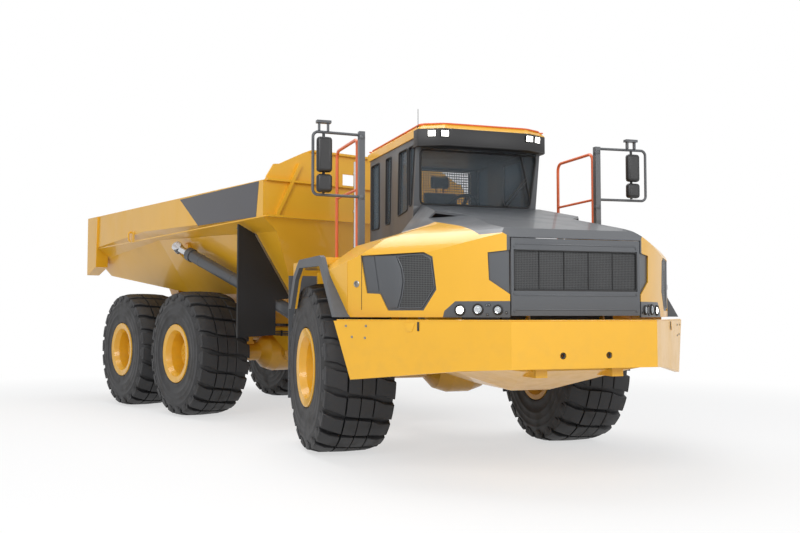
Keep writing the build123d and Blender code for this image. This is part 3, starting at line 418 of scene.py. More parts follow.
def tyre_compound(name, colour):
    """Tyre rubber: fine moulding texture, with the tread scuffed and greyed by dry dirt."""
    shader = Shader(name, colour, 0.62)
    dirt = shader.noise(6, 7).between(0.42, 0.78)
    scuffs = shader.noise(38, 4).between(0.5, 0.8)
    tone = shader.mix(dirt * 0.35, colour, (0.060, 0.056, 0.050))
    shader.feed("Base Color", shader.mix(scuffs * 0.3, tone, darker(colour, 0.55)))
    shader.feed("Roughness", 0.56 + dirt * 0.25)
    shader.bump(shader.noise(120, 4) + scuffs * 0.4, 0.35, 0.0015)
    return shader.material


def bare_metal(name, colour, roughness):
    """Polished or plated metal with fine drawn lines."""
    shader = Shader(name, colour, roughness, metallic=1.0)
    lines = shader.noise(40, 2, (1, 1, 0.05))
    shader.feed("Roughness", roughness + lines.between(0.3, 0.7) * 0.12)
    stains = shader.noise(2, 3).between(0.4, 0.8) * 0.3
    shader.feed("Base Color", shader.mix(stains, colour, darker(colour, 0.7)))
    return shader.material


def glazing(name, colour, clearness):
    """Clear pane that tints what is behind it and mirrors more at a slant."""
    shader = Shader(name, colour, 0.03)
    slant = shader.node("ShaderNodeFresnel", {}, {"IOR": 1.5})
    film = shader.noise(1.3, 3).between(0.4, 0.8) * 0.05
    shader.feed("Alpha", 1 - clearness * (1 - slant) + film)
    shader.feed("Roughness", 0.02 + film)
    return shader.material


def perforated(name, colour, hole_shade, pitch, run, see_through):
    """Sheet punched with staggered holes, coloured near-black as painted shade of the space behind unless
    see_through opens them; run is how x and y count along the sheet.
    """
    shader = Shader(name, colour, 0.45)
    x, y, z = (shader.axis(letter) for letter in "XYZ")
    along = (x - origin.x).absolute() * run[0] + (y - origin.y) * run[1]
    waves = (along * (pi / pitch)).sine() * (z * (pi / pitch)).sine()
    holes = waves.absolute().between(0.30, 0.48)
    # the holes are coloured near-black: painted shade of the space behind the sheet
    shader.feed("Base Color", shader.mix(holes, colour, hole_shade))
    shader.feed("Roughness", 0.45 + shader.noise(5, 4).between(0.4, 0.8) * 0.15)
    shader.bump(1 - holes, 0.5, 0.004)
    if see_through:
        shader.feed("Alpha", 1 - holes)
    return shader.material


def woven(name, colour, pitch):
    """Cloth of crossed yarns, with painted shade where one passes under another."""
    shader = Shader(name, colour, 0.85, sheen_weight=0.2)
    x, y, z = (shader.axis(letter) for letter in "XYZ")
    yarns = ((x + y) * (pi / pitch)).sine() * ((z + y) * (pi / pitch)).sine()
    high = yarns.between(-0.6, 0.6)
    lint = shader.noise(14, 4).between(0.4, 0.8)
    tone = shader.mix(lint, colour, darker(colour, 1.7))
    # the yarns' low places are painted darker: painted shade between the yarns
    shader.feed("Base Color", shader.mix(high, darker(colour, 0.6), tone))
    shader.feed("Roughness", 0.78 + lint * 0.15)
    shader.bump(high, 0.4, 0.0015)
    return shader.material


def glowing(name, colour, strength, cell):
    """Lit lamp behind a ribbed lens."""
    shader = Shader(name, colour, 0.12, emission_strength=strength)
    x, z = shader.axis("X"), shader.axis("Z")
    ribs = ((x * (pi / cell)).sine() * (z * (pi / cell)).sine()).absolute()
    shader.feed("Emission Color", shader.mix(ribs.between(0.0, 0.5), darker(colour, 0.7), colour))
    shader.feed("Base Color", shader.mix(ribs, darker(colour, 0.6), colour))
    shader.bump(ribs, 0.3, 0.002)
    return shader.material


wing_run = (0.6238, 0.7816)        # how x and y count along the hood's swept side
finishes = {}


def add_finish(maker, name, *look, **constants):
    """Makes a finish and files it under its name."""
    finishes[name] = maker(name, *look, **constants)


add_finish(painted, "yellow_paint", (0.80, 0.42, 0.018), 0.34, 0.14, coat_weight=0.35)
add_finish(painted, "dark_grey_paint", (0.075, 0.080, 0.088), 0.42, 0.2, coat_weight=0.15)
add_finish(painted, "orange_paint", (0.72, 0.13, 0.03), 0.4, 0.1, coat_weight=0.2)
add_finish(painted, "cast_grey", (0.06, 0.062, 0.066), 0.55, 0.4)
add_finish(moulded, "black_plastic", (0.012, 0.012, 0.013), 0.5, 300, 0.0006)
add_finish(moulded, "rubber_sheet", (0.008, 0.008, 0.009), 0.6, 60, 0.001)
add_finish(tyre_compound, "tyre_rubber", (0.019, 0.019, 0.021))
add_finish(moulded, "mirror_housing", (0.012, 0.012, 0.013), 0.38, 300, 0.0005)
add_finish(woven, "seat_fabric", (0.03, 0.032, 0.036), 0.004)
add_finish(moulded, "grey_moulding", (0.075, 0.080, 0.088), 0.5, 90, 0.0008)
add_finish(bare_metal, "steel_chrome", (0.62, 0.63, 0.65), 0.18)
add_finish(glazing, "cab_glass", (0.22, 0.27, 0.31), 0.90)
add_finish(glazing, "lamp_lens", (0.7, 0.75, 0.8), 0.8)
add_finish(glowing, "lamp_lit", (1.0, 0.98, 0.92), 6.0, 0.012)
add_finish(glowing, "red_lens", (0.45, 0.01, 0.008), 0.15, 0.012)
add_finish(glowing, "amber_lens", (0.75, 0.22, 0.01), 0.15, 0.012)
add_finish(bare_metal, "mirror_silver", (0.75, 0.78, 0.80), 0.03)
add_finish(bare_metal, "bolt_steel", (0.30, 0.29, 0.27), 0.35)
add_finish(moulded, "dark_vinyl", (0.052, 0.052, 0.060), 0.42, 25, 0.0004, coat_weight=0.2)
# the vent and grille screens are not see-through, so their holes show painted shade
add_finish(perforated, "vent_screen", (0.075, 0.078, 0.080), (0.004, 0.004, 0.004), 0.017, wing_run, False)
add_finish(perforated, "grille_screen", (0.05, 0.052, 0.055), (0.003, 0.003, 0.003), 0.016, (1, 0), False)
add_finish(perforated, "guard_screen", (0.10, 0.105, 0.11), (0.01, 0.01, 0.01), 0.034, (1, 0), True)

own_finish = {"grille_mesh": "grille_screen", "mudguards": "grey_moulding"}
for part in frame["record"]["subparts"]:
    node = frame["nodes"][part["node"]]
    node.data.materials.clear()
    node.data.materials.append(finishes[own_finish.get(part["node"], part["material_slot"])])


# ---------------- wheels
wheels = ("front_right", "front_left", "middle_right", "middle_left", "rear_right", "rear_left")
tyre_radius = 0.99
lug_rows = 22


def wheel_place(wheel):
    """Place of a wheel whose axle lies along x: the right-hand ones are turned half round."""
    turn = 0 if wheel.startswith("front") else bend
    if wheel.endswith("right"):
        turn += pi
    return Matrix.Translation(middle("tyre_" + wheel)) @ Matrix.Rotation(turn, 4, "Z")


def at_height(points, x):
    """Height of a broken line at x."""
    for (x0, y0), (x1, y1) in zip(points, points[1:]):
        if x <= x1:
            break
    share = min(max((x - x0) / (x1 - x0), 0), 1)
    return y0 + share * (y1 - y0)


lug_line = [(-0.42, 0.105), (-0.16, 0.02), (0.16, -0.02), (0.42, -0.105)]
groove_floor = [(0, 0.940), (0.30, 0.930), (0.36, 0.908), (0.41, 0.860)]
lug_tops = [(0, tyre_radius), (0.25, 0.984), (0.36, 0.966), (0.41, 0.944)]


def lug(inner, outer, half_inner, half_outer, step):
    """One tread block between two distances from the middle, laid flat and then wrapped round."""
    xs, halves = [inner, outer], [half_inner, half_outer]
    if step:
        xs.insert(1, (inner + outer) / 2)
        halves.insert(1, (half_inner + half_outer) / 2 - step)
    low = [(x, at_height(lug_line, x) - half, 0) for x, half in zip(xs, halves)]
    high = [(x, at_height(lug_line, x) + half, 0) for x, half in zip(xs, halves)]
    shape = slab(low + high[::-1], up)
    editing(shape)
    cuts = [((0, y, 0), rearward) for y in (-0.12, -0.06, 0.0, 0.06, 0.12)]
    for point, square in cuts + [((x, 0, 0), along_axle) for x in (-0.3, 0.3)]:
        bpy.ops.mesh.select_all(action="SELECT")
        bpy.ops.mesh.bisect(plane_co=point, plane_no=square)
    finished_editing()
    for vertex in shape.data.vertices:
        x, along, top = vertex.co
        reach = abs(x)
        radius = at_height(lug_tops, reach) if top > 0.5 else at_height(groove_floor, reach) - 0.012
        flare = 1.0 if top > 0.5 else 1.06
        angle = (at_height(lug_line, x) + (along - at_height(lug_line, x)) * flare) / tyre_radius
        vertex.co = (x, radius * sin(angle), radius * cos(angle))
    return rounded(shape, 0.011, 1, 40)


def tread_rows():
    """All tread blocks of one tyre, about an axle along x through the origin."""
    row = [lug(-0.405, -0.165, 0.108, 0.112, 0.012), lug(-0.150, -0.006, 0.112, 0.120, 0.0),
           lug(0.006, 0.150, 0.120, 0.112, 0.0), lug(0.165, 0.405, 0.112, 0.108, 0.012)]
    turns = [Matrix.Rotation(2 * pi * step / lug_rows, 4, "X") for step in range(lug_rows)]
    return copies(joined(*row), turns)


def tyre_carcass():
    """Casing from bead to bead with raised rings on both sidewalls."""
    side = [(0.385, 0.463), (0.408, 0.476), (0.4165, 0.510), (0.4115, 0.524), (0.4155, 0.560), (0.421, 0.612),
            (0.4255, 0.618), (0.4265, 0.640), (0.4255, 0.648), (0.4245, 0.700), (0.4265, 0.706), (0.427, 0.722),
            (0.4245, 0.730), (0.4215, 0.790), (0.4245, 0.796), (0.424, 0.812), (0.4175, 0.822), (0.410, 0.858),
            (0.392, 0.890), (0.360, 0.910), (0.300, 0.930), (0.150, 0.938), (0.0, 0.940)]
    section = [(x, 0, r) for x, r in side] + [(-x, 0, r) for x, r in side[-2::-1]]
    return spun(section, along_axle, 72, True)


def side_lugs():
    """Short ribs that carry the tread pattern down over the shoulders."""
    outline = [(0.396, -0.075, 0.952), (0.396, 0.075, 0.952), (0.4225, 0.055, 0.845), (0.4225, -0.055, 0.845)]
    rib = slab(outline, (-0.016, 0, 0.0), 0.006)
    turned = []
    for side in (1, -1):
        for step in range(lug_rows):
            angle = 2 * pi * step / lug_rows + 0.106 * side
            face = unmoved if side == 1 else mirror_x
            turned.append(Matrix.Rotation(angle, 4, "X") @ face)
    return copies(rib, turned)


tyre = joined(tyre_carcass(), tread_rows(), side_lugs())


def hex_bolt(radius, height, washer=0.0):
    """Hexagon head standing up from the origin along z, on a round washer where one is given."""
    head = rod((0, 0, 0), (0, 0, height), radius, 0, 6)
    if washer:
        return joined(head, rod((0, 0, 0), (0, 0, height * 0.3), washer, 0, 12))
    return head


def bolts(places, radius, height, washer=0.0):
    """Bolt heads at places given as (point, direction)."""
    return copies(hex_bolt(radius, height, washer), [facing(point, way) for point, way in places])


def wheel_trim():
    """Nuts, hub cover screws, drain plug and lock ring of one wheel, outwards along x."""
    ring = [(0.0585, 0.258 * sin(a), 0.258 * cos(a)) for a in (2 * pi * n / 20 for n in range(20))]
    nuts = bolts([(place, along_axle) for place in ring], 0.0205, 0.034, 0.026)
    studs = joined(*[rod(place, Vector(place) + Vector((0.048, 0, 0)), 0.0115, 0.002, 10) for place in ring])
    cover = [(0.2345, 0.112 * sin(a), 0.112 * cos(a)) for a in (2 * pi * (n + 0.5) / 8 for n in range(8))]
    screws = bolts([(place, along_axle) for place in cover], 0.012, 0.012)
    plug = joined(rod((0.2345, 0, 0), (0.247, 0, 0), 0.03, 0.003, 16),
                   rod((0.245, 0, 0), (0.258, 0, 0), 0.014, 0.002, 4))
    collar = [(0.203, 0.0, 0.199), (0.212, 0.0, 0.199), (0.212, 0.0, 0.176), (0.203, 0.0, 0.176)]
    return joined(nuts, studs, screws, plug, spun(collar, along_axle, 40, True))


def lock_ring():
    """Split ring that holds the tyre's bead on the rim, with a valve beside it."""
    section = [(0.396, 0, 0.452), (0.404, 0, 0.460), (0.416, 0, 0.459), (0.4185, 0, 0.450), (0.4145, 0, 0.441),
               (0.402, 0, 0.440)]
    ring = spun(section, along_axle, 72, True)
    valve = tube([(0.32, 0, 0.345), (0.352, 0, 0.348), (0.372, 0, 0.366)], 0.007, 0.01)
    guard = slab([(0.325, -0.03, 0.385), (0.325, 0.03, 0.385), (0.325, 0.02, 0.335), (0.325, -0.02, 0.335)],
                 (0.012, 0, 0), 0.003)
    return joined(ring, valve, guard)


trim, ring_trim = wheel_trim(), lock_ring()
for wheel in wheels:
    here = wheel_place(wheel)
    tread = settle("tread_" + wheel, twin(tyre, here), "wheel_" + wheel, "tyre_rubber")
    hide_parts("tyre_" + wheel)
    settle("wheel_nuts_" + wheel, twin(trim, here), "wheel_" + wheel, "yellow_paint")
    settle("lock_ring_" + wheel, twin(ring_trim, here), "wheel_" + wheel, "yellow_paint")
for pattern in (tyre, trim, ring_trim):
    bpy.data.objects.remove(pattern)


# ---------------- small fittings
def lamp_bezel(radius, wall, height):
    """Round surround of a lamp, standing on its panel."""
    section = [(radius, 0, -0.004), (radius, 0, height * 0.8), (radius + wall * 0.4, 0, height),
               (radius + wall, 0, height * 0.6), (radius + wall, 0, -0.004)]
    return spun(section, up, 32, True)


def lamp_glass(radius, rise):
    """Domed lens of a lamp, closed at the back."""
    section = [(0, 0, rise), (radius * 0.5, 0, rise * 0.86), (radius * 0.85, 0, rise * 0.4), (radius, 0, 0),
               (radius, 0, -0.003), (0, 0, -0.003)]
    return spun(section, up, 32)


def lamp_bowl(radius):
    """Reflector behind a lamp's lens, with a ring round its bulb."""
    section = [(0, 0, 0.0005), (radius * 0.3, 0, 0.001), (radius * 0.34, 0, 0.005), (radius * 0.7, 0, 0.003),
               (radius, 0, 0.006), (radius, 0, -0.002), (0, 0, -0.002)]
    return spun(section, up, 32)


def work_lamp(width, height, depth):
    """Square lamp with a cooling-fin back, facing along z, and its lens."""
    body = block((-width / 2, -height / 2, -depth), (width / 2, height / 2, 0), 0.006)
    fins = [block((x - 0.002, -height * 0.42, -depth - 0.010), (x + 0.002, height * 0.42, -depth + 0.002))
            for x in (width * (n - 3) / 8 for n in range(7))]
    glass = slab([(-width * 0.44, -height * 0.42, 0), (width * 0.44, -height * 0.42, 0),
                  (width * 0.44, height * 0.42, 0), (-width * 0.44, height * 0.42, 0)], (0, 0, 0.004), 0.0015)
    return joined(body, *fins), glass


def strip(points, width, thickness, lift):
    """Flat strip lying along a chain of points on a panel whose outward direction is lift."""
    lift = Vector(lift).normalized()
    parts = []
    for start, end in zip(points, points[1:]):
        start, end = Vector(start), Vector(end)
        side = (end - start).cross(lift).normalized() * width / 2
        along = (end - start).normalized() * width * 0.45
        outline = [start - side - along, end - side + along, end + side + along, start + side - along]
        parts.append(slab(outline, lift * thickness, thickness * 0.3))
    return joined(*parts)


def line_of(start, end, count):
    """Evenly spaced points from one end to the other."""
    start, end = Vector(start), Vector(end)
    return [start.lerp(end, n / (count - 1)) for n in range(count)]


# ---------------- hood, lamps and grille
wing = Vector((0.6237, 0.7817, 0))            # along the hood's swept side, towards the cab
wing_out = Vector((0.7817, -0.6237, 0))       # square to it, outwards on the left
vent_start, vent_reach, wing_radius = Vector((1.08, -2.71, 0)), 1.2666, 3.92


def on_wing(along, z, out=0.0):
    """Point of the hood's swept left side, which bulges a little, or standing off it."""
    half = vent_reach / 2
    bulge = (wing_radius ** 2 - (along - half) ** 2) ** 0.5 - (wing_radius ** 2 - half ** 2) ** 0.5
    point = vent_start + wing * along + wing_out * (out + bulge)
    return (point.x, point.y, z)


nose_out = (0.622, -0.783, 0)
headlamp_places = [((1.065, -2.723, 1.653), 0.036), ((0.932, -2.836, 1.660), 0.036),
                   ((0.784, -2.952, 1.655), 0.030)]
markers = [(0.868, -2.889, 1.697), (0.848, -2.904, 1.700), (0.862, -2.893, 1.612), (0.720, -2.999, 1.628)]
bezels, bowls, lenses = [], [], []
for point, radius in headlamp_places:
    point = Vector(point) + Vector(nose_out) * 0.003
    bezels += [placed(lamp_bezel(radius + 0.006, 0.012, 0.012), point, nose_out),
               placed(lamp_bezel(radius - 0.001, 0.008, 0.006), point, nose_out)]
    if lenses:                     # the outermost lamp is lit, so that its bowl doesn't show
        bowls.append(placed(lamp_bowl(radius), point, nose_out))
    lenses.append(placed(lamp_glass(radius, 0.011), point, nose_out))
for point in markers:
    point = Vector(point) + Vector(nose_out) * 0.002
    bezels.append(placed(lamp_bezel(0.009, 0.004, 0.004), point, nose_out))
    lenses.append(placed(lamp_glass(0.009, 0.004), point, nose_out))
settle("headlamp_bezels", both_sides(*bezels), "hood", "black_plastic")
settle("dipped_lamps", both_sides(lenses.pop(0)), "hood", "lamp_lit")
settle("headlamp_lenses", both_sides(*lenses), "hood", "lamp_lens")
settle("headlamp_bowls", both_sides(*bowls), "hood", "mirror_silver")

mesh_outline = [(0.372, 1.675), (0.500, 1.672), (0.625, 1.676), (0.585, 1.790), (0.560, 1.930), (0.585, 2.060),
                (0.640, 2.170), (0.500, 2.182), (0.368, 2.185), (0.278, 2.142), (0.236, 1.870)]
mesh = slab([on_wing(along, z, -0.008) for along, z in mesh_outline], wing_out * 0.002)
settle("vent_screens", both_sides(mesh), "hood", "vent_screen")
rim = tube([on_wing(along, z, -0.005) for along, z in mesh_outline], 0.006, 0.015, closed=True)
slope = slab([on_wing(along, z, -0.013) for along, z in
              ((0.640, 1.676), (0.735, 1.672), (0.838, 1.832), (0.905, 2.186), (0.660, 2.180), (0.602, 2.060),
               (0.580, 1.930), (0.602, 1.790))], wing_out * 0.012, 0.005)
ledge = slab([on_wing(along, z, -0.013) for along, z in
              ((0.862, 1.838), (0.990, 1.842), (1.066, 2.180), (0.925, 2.184))], wing_out * 0.006, 0.004)
settle("vent_frames", both_sides(rim, slope, ledge), "hood", "dark_grey_paint")
latch_parts = (lamp_bezel(0.022, 0.012, 0.009), lamp_glass(0.022, 0.003),
               rod((0, 0, 0.002), (0, 0, 0.008), 0.009, 0.001, 3))
latch = joined(*[placed(shape, on_wing(1.140, 1.915, 0.0005), wing_out) for shape in latch_parts])
settle("hood_latches", both_sides(latch), "hood", "bolt_steel")

grille_face = -3.0205
screen = slab(across_pane(-0.652, 0.652, -3.0, 1.833, 2.207), (0, -0.004, 0))
settle("grille_screen", screen, "grille", "grille_screen")
bead = tube(across_pane(-0.648, 0.648, -3.016, 1.836, 2.204), 0.008, 0.03, closed=True)
bars = [tube([(x, -3.008, 1.836), (x, -3.008, 2.204)], 0.004) for x in (-0.39, -0.13, 0.13, 0.39)]
settle("grille_bead", joined(bead, *bars), "grille", "black_plastic")
panel_edges = [strip([(-0.63, grille_face, z), (0.63, grille_face, z)], 0.012, 0.004, forward)
               for z in (1.655, 1.79, 2.262)]
corner_screws = bolts([((x, grille_face, z), forward) for x in (-0.645, 0.645) for z in (1.64, 1.80, 2.24)],
                      0.009, 0.006, 0.014)
settle("grille_trim", joined(*panel_edges, corner_screws), "grille", "dark_grey_paint")

seams = strip([on_wing(1.075, z, 0.0005) for z in (1.66, 2.20)], 0.006, 0.0015, wing_out)
settle("hood_seams", both_sides(seams), "hood", "black_plastic")

# ---------------- bumper
wing_face = (0.735, -0.678, 0)
bumper_screws = [(1.932, -1.887, 1.499), (1.778, -2.058, 1.500), (1.885, -1.937, 1.392),
                 (1.785, -2.047, 1.384)]
screw_heads = bolts([(point, wing_face) for point in bumper_screws], 0.009, 0.006, 0.013)
settle("bumper_bolts", both_sides(screw_heads), "front_unit", "bolt_steel")
studs = [placed(lamp_glass(0.013, 0.0004), (x, -3.1795, 1.40), forward) for x in (-0.55, 0.55)]
settle("bumper_reflectors", joined(*studs), "front_unit", "mirror_silver")
# the bumper's slots are black slabs on the wing face: painted shade of the openings
slot_ends = ((1.400, -2.4795, 1.541), (1.386, -2.4945, 1.541), (1.386, -2.4945, 1.456), (1.400, -2.4795, 1.456))
slot_shade = slab(slot_ends, Vector(wing_face) * 0.004, 0.001)
notch = slab([(1.502, -2.366, 1.533), (1.415, -2.461, 1.533), (1.440, -2.434, 1.446), (1.476, -2.395, 1.446)],
             Vector(wing_face) * 0.003, 0.001)
settle("bumper_slot_shades", both_sides(slot_shade), "front_unit", "black_plastic")
settle("bumper_notches", both_sides(notch), "front_unit", "yellow_paint")
bores = [placed(lamp_bezel(0.019, 0.012, 0.030), (x, -3.145, 1.235), forward) for x in (-0.24, 0.24)]
settle("tow_bushings", joined(*bores), "front_unit", "cast_grey")
bumper_line = [(-2.0, -1.80), (-0.765, -3.165), (0.765, -3.165), (2.0, -1.80)]
top_edge = tube([(x, y, 1.556) for x, y in bumper_line], 0.007)
settle("bumper_top_edge", top_edge, "front_unit", "yellow_paint")

# ---------------- cab
cab_right, door_side, cab_left = -0.838, 0.717, 0.718      # outer faces of the cab
roof_line = [(-0.812, 0.92), (-0.812, -0.965), (-0.572, -1.086), (0.452, -1.086), (0.692, -0.965),
             (0.692, 0.92)]
rail = tube([(x, y, 3.758) for x, y in roof_line], 0.0095, 0.06, 10, closed=True)
feet_at = [point for start, end in ((1, 0), (4, 5))
           for point in line_of((*roof_line[start], 0), (*roof_line[end], 0), 5)]
feet = [block((p.x - 0.03, p.y - 0.018, 3.738), (p.x + 0.03, p.y + 0.018, 3.752), 0.004) for p in feet_at]
settle("roof_rail", joined(rail, *feet), "front_unit", "orange_paint")
fascia_line = [(-0.857, -0.86), (-0.857, -0.993), (-0.582, -1.135), (0.462, -1.135), (0.737, -0.993),
               (0.737, -0.86)]
fascia_outline = [(x, y, 3.500) for x, y in fascia_line]
fascia_outline += [(x * 0.993, y + 0.02, 3.500) for x, y in fascia_line[::-1]]
fascia = slab(fascia_outline, (0, 0, 0.196), 0.003)
lip = tube([(x, y + 0.004, 3.506) for x, y in fascia_line], 0.010, 0.04)
settle("visor_fascia", joined(fascia, lip), "front_unit", "black_plastic")

visor_lamps = [((-0.715, -1.070, 3.640), (-0.42, -0.9, -0.1)), ((-0.585, -1.136, 3.635), (-0.1, -1, -0.1)),
               ((0.460, -1.136, 3.635), (0.1, -1, -0.1)), ((0.590, -1.070, 3.640), (0.42, -0.9, -0.1))]
bodies, glasses = [], []
for point, way in visor_lamps:
    lamp, glass = work_lamp(0.092, 0.074, 0.05)
    point = Vector(point) + Vector(way) * 0.012
    bodies.append(placed(lamp, point, way))
    glasses.append(placed(glass, point, way))
settle("roof_lamps", joined(*bodies), "front_unit", "black_plastic")
settle("roof_lamp_glass", joined(*glasses), "front_unit", "lamp_lit")

antenna_steps = (         # bottom, top, radius, rounding, sides
    (3.640, 3.700, 0.018, 0.004, 16),
    (3.700, 3.735, 0.010, 0.002, 12),
    (3.735, 3.930, 0.0035, 0.001, 8),
)
mast = [rod((cab_right, -0.955, low), (cab_right, -0.955, high), *look) for low, high, *look in antenna_steps]
settle("antenna", joined(*mast), "front_unit", "black_plastic")


def screen_point(x, z, off):
    """Point standing off the outside of the leaning windscreen."""
    return (x, -0.785 - 0.1753 * (z - 2.85) - off, z)


blade_line = [(0.46, 3.46), (0.54, 3.20), (0.62, 2.93)]
blade = [strip([screen_point(x, z, 0.022) for x, z in blade_line[::2]], 0.022, 0.012, (0, -1, 0.17)),
         tube([screen_point(x, z, off) for (x, z), off in zip(blade_line, (0.038, 0.044, 0.038))], 0.006)]
wiper_arms = (          # pivot, end at the blade, radius, radius of the pivot
    (0.300, 2.90, 0.530, 3.21, 0.008, 0.016),
    (0.345, 2.89, 0.548, 3.18, 0.006, 0.014),
)
for x, z, end_x, end_z, radius, boss in wiper_arms:
    route = [screen_point(x, z, 0.020), screen_point(x + 0.010, z + 0.035, 0.045),
             screen_point(end_x, end_z, 0.052)]
    blade += [tube(route, radius), rod(screen_point(x, z, -0.004), screen_point(x, z, 0.03), boss, 0.003, 16)]
settle("wiper", joined(*blade), "front_unit", "black_plastic")


def seal(outline, radius=0.009, corner=0.03):
    """Rubber bead all round an opening."""
    return tube(outline, radius, corner, closed=True)


seals = [seal([screen_point(x, z, 0.004) for x, z in
               ((-0.75, 2.875), (0.63, 2.875), (0.67, 3.48), (-0.79, 3.48))], 0.011, 0.05)]
for outline in ([(-0.727, 2.86), (-0.64, 2.86), (-0.64, 3.54), (-0.846, 3.54)],
                [(-0.59, 2.82), (-0.25, 2.78), (-0.29, 3.54), (-0.59, 3.54)],
                [(0.06, 2.72), (0.23, 2.72), (0.21, 3.54), (0.01, 3.54)]):
    seals.append(seal([(cab_right, y, z) for y, z in outline]))
seals += [seal(side_pane(x, 0.50, 0.83, 2.70, 3.54)) for x in (cab_right, cab_left)]
seals.append(seal(across_pane(-0.70, 0.58, 0.903, 2.80, 3.54), corner=0.04))
settle("window_seals", joined(*seals), "front_unit", "rubber_sheet")
door_seal = seal(side_pane(door_side, -0.49, 0.01, 2.76, 3.49), corner=0.04)
settle("door_seal", door_seal, "cab_door", "rubber_sheet")
grip_line = ((0.716, 2.50), (0.752, 2.50), (0.752, 2.66), (0.716, 2.66))
grip = [tube([(x, -0.50, z) for x, z in grip_line], 0.009, 0.012),
        slab(side_pane(0.715, -0.53, -0.47, 2.44, 2.72), (0.006, 0, 0), 0.003)]
settle("door_handle", joined(*grip), "cab_door", "black_plastic")
guard = slab(across_pane(-0.69, 0.57, 0.855, 2.81, 3.53), (0, 0.003, 0))
settle("window_guard", guard, "front_unit", "guard_screen")

# mirror heads: rounded shells with the glass set in their rear faces, clamped to the hoops
mirror_middle = 1.932
shells, silver, clamps = [], [], []
for side, low, high in ((-1, 2.934, 3.132), (-1, 3.152, 3.539), (1, 3.024, 3.203), (1, 3.223, 3.559)):
    x = side * mirror_middle
    shell = block((x - 0.085, -1.030, low), (x + 0.085, -0.940, high))
    shells.append(rounded(shell, 0.036, 5))
    pane = across_pane(x - 0.066, x + 0.066, -0.9405, low + 0.02, high - 0.02)
    silver.append(slab(pane, (0, 0.006, 0), 0.003))
    for z in (low + 0.05, high - 0.05):
        clamps.append(block((x - 0.026, -0.972, z - 0.016), (x + 0.026, -0.922, z + 0.016), 0.005))
for side, low, high in ((-1, 2.927, 3.583), (1, 3.017, 3.603)):
    x = side * mirror_middle
    clamps.append(rod((x, -0.953, low), (x, -0.953, high), 0.016, 0.003, 16))
heads = settle("mirror_shells", joined(*shells), "front_unit", "mirror_housing")
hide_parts("mirror_heads")
settle("mirror_glass", joined(*silver), "front_unit", "mirror_silver")
settle("mirror_clamps", joined(*clamps), "front_unit", "black_plastic")
sockets = [rod((x, -0.90, z), (x, -0.90, z + 0.05), 0.042, 0.006) for x in (-1.487, 1.487)
           for z in (2.30, 2.88, 3.55)]
settle("mirror_post_clamps", joined(*sockets), "front_unit", "dark_grey_paint")

straps = []
for z in (2.35, 2.95, 3.45):
    band = spun([(0.073, 0, z), (0.080, 0, z), (0.080, 0, z + 0.03), (0.073, 0, z + 0.03)], up, 32, True)
    straps.append(copies(band, [Matrix.Translation((-0.96, 1.01, 0))]))
settle("exhaust_straps", joined(*straps), "front_unit", "steel_chrome")


# ---------------- seat
seat_voxel, filling_steps = 0.012, 20


def cushion(name, low, high, crown):
    """Padded form blown up from a rounded block by a cloth simulation, up to the crown's height."""
    pad = block(low, high, 0.035)
    editing(pad)
    bpy.ops.mesh.subdivide(number_cuts=3)
    finished_editing()
    remesh = pad.modifiers.new("voxels", "REMESH")
    remesh.mode, remesh.voxel_size = "VOXEL", seat_voxel
    bpy.ops.object.modifier_apply(modifier=remesh.name)
    before = [vertex.co.copy() for vertex in pad.data.vertices]
    cloth = pad.modifiers.new("filling", "CLOTH")
    cloth.settings.use_pressure = True
    cloth.settings.uniform_pressure_force = 4
    cloth.settings.effector_weights.gravity = 0
    for step in range(1, filling_steps + 1):
        bpy.context.scene.frame_set(step)
    alone(pad)
    bpy.ops.object.modifier_apply(modifier=cloth.name)
    for vertex, was in zip(pad.data.vertices, before):
        move = vertex.co - was
        if move.length > crown:
            vertex.co = was + move.normalized() * crown
    bpy.context.scene.frame_set(1)
    smooth = pad.modifiers.new("smooth", "SUBSURF")
    smooth.levels = smooth.render_levels = 1
    bpy.ops.object.modifier_apply(modifier=smooth.name)
    bpy.ops.object.shade_smooth()
    settle(name, pad, "front_unit", "seat_fabric")
    return pad


squab = cushion("seat_cushion", (-0.300, -0.180, 2.440), (0.180, 0.270, 2.555), 0.014)
backrest = cushion("seat_back", (-0.290, 0.285, 2.600), (0.170, 0.375, 3.180), 0.014)
headrest = cushion("head_rest", (-0.190, 0.345, 3.225), (0.070, 0.405, 3.390), 0.010)
stem = [rod((x, 0.375, 3.16), (x, 0.375, 3.25), 0.008, 0, 10) for x in (-0.11, -0.01)]
ribs = []                     # bellows under the seat, every other fold drawn in
for fold in range(7):
    z, inward = 2.14 + 0.04 * fold, 0.02 * (fold % 2)
    x0, x1, y0, y1 = -0.210 + inward, 0.090 - inward, -0.08 + inward, 0.22 - inward
    ribs.append(tube([(x0, y0, z), (x1, y0, z), (x1, y1, z), (x0, y1, z)], 0.020, 0.05, closed=True))
base = [block((-0.21, -0.08, 2.108), (0.09, 0.22, 2.13), 0.006),
        block((-0.30, -0.17, 2.395), (0.18, 0.29, 2.43), 0.012),
        block((-0.25, 0.27, 2.44), (0.13, 0.30, 2.62), 0.012),
        block((-0.27, 0.372, 2.63), (0.15, 0.395, 3.16), 0.010)]
shell = settle("seat_base", joined(*stem, *ribs, *base), "front_unit", "black_plastic")
for pad in (squab, backrest, headrest, shell):
    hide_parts("driver_seat")

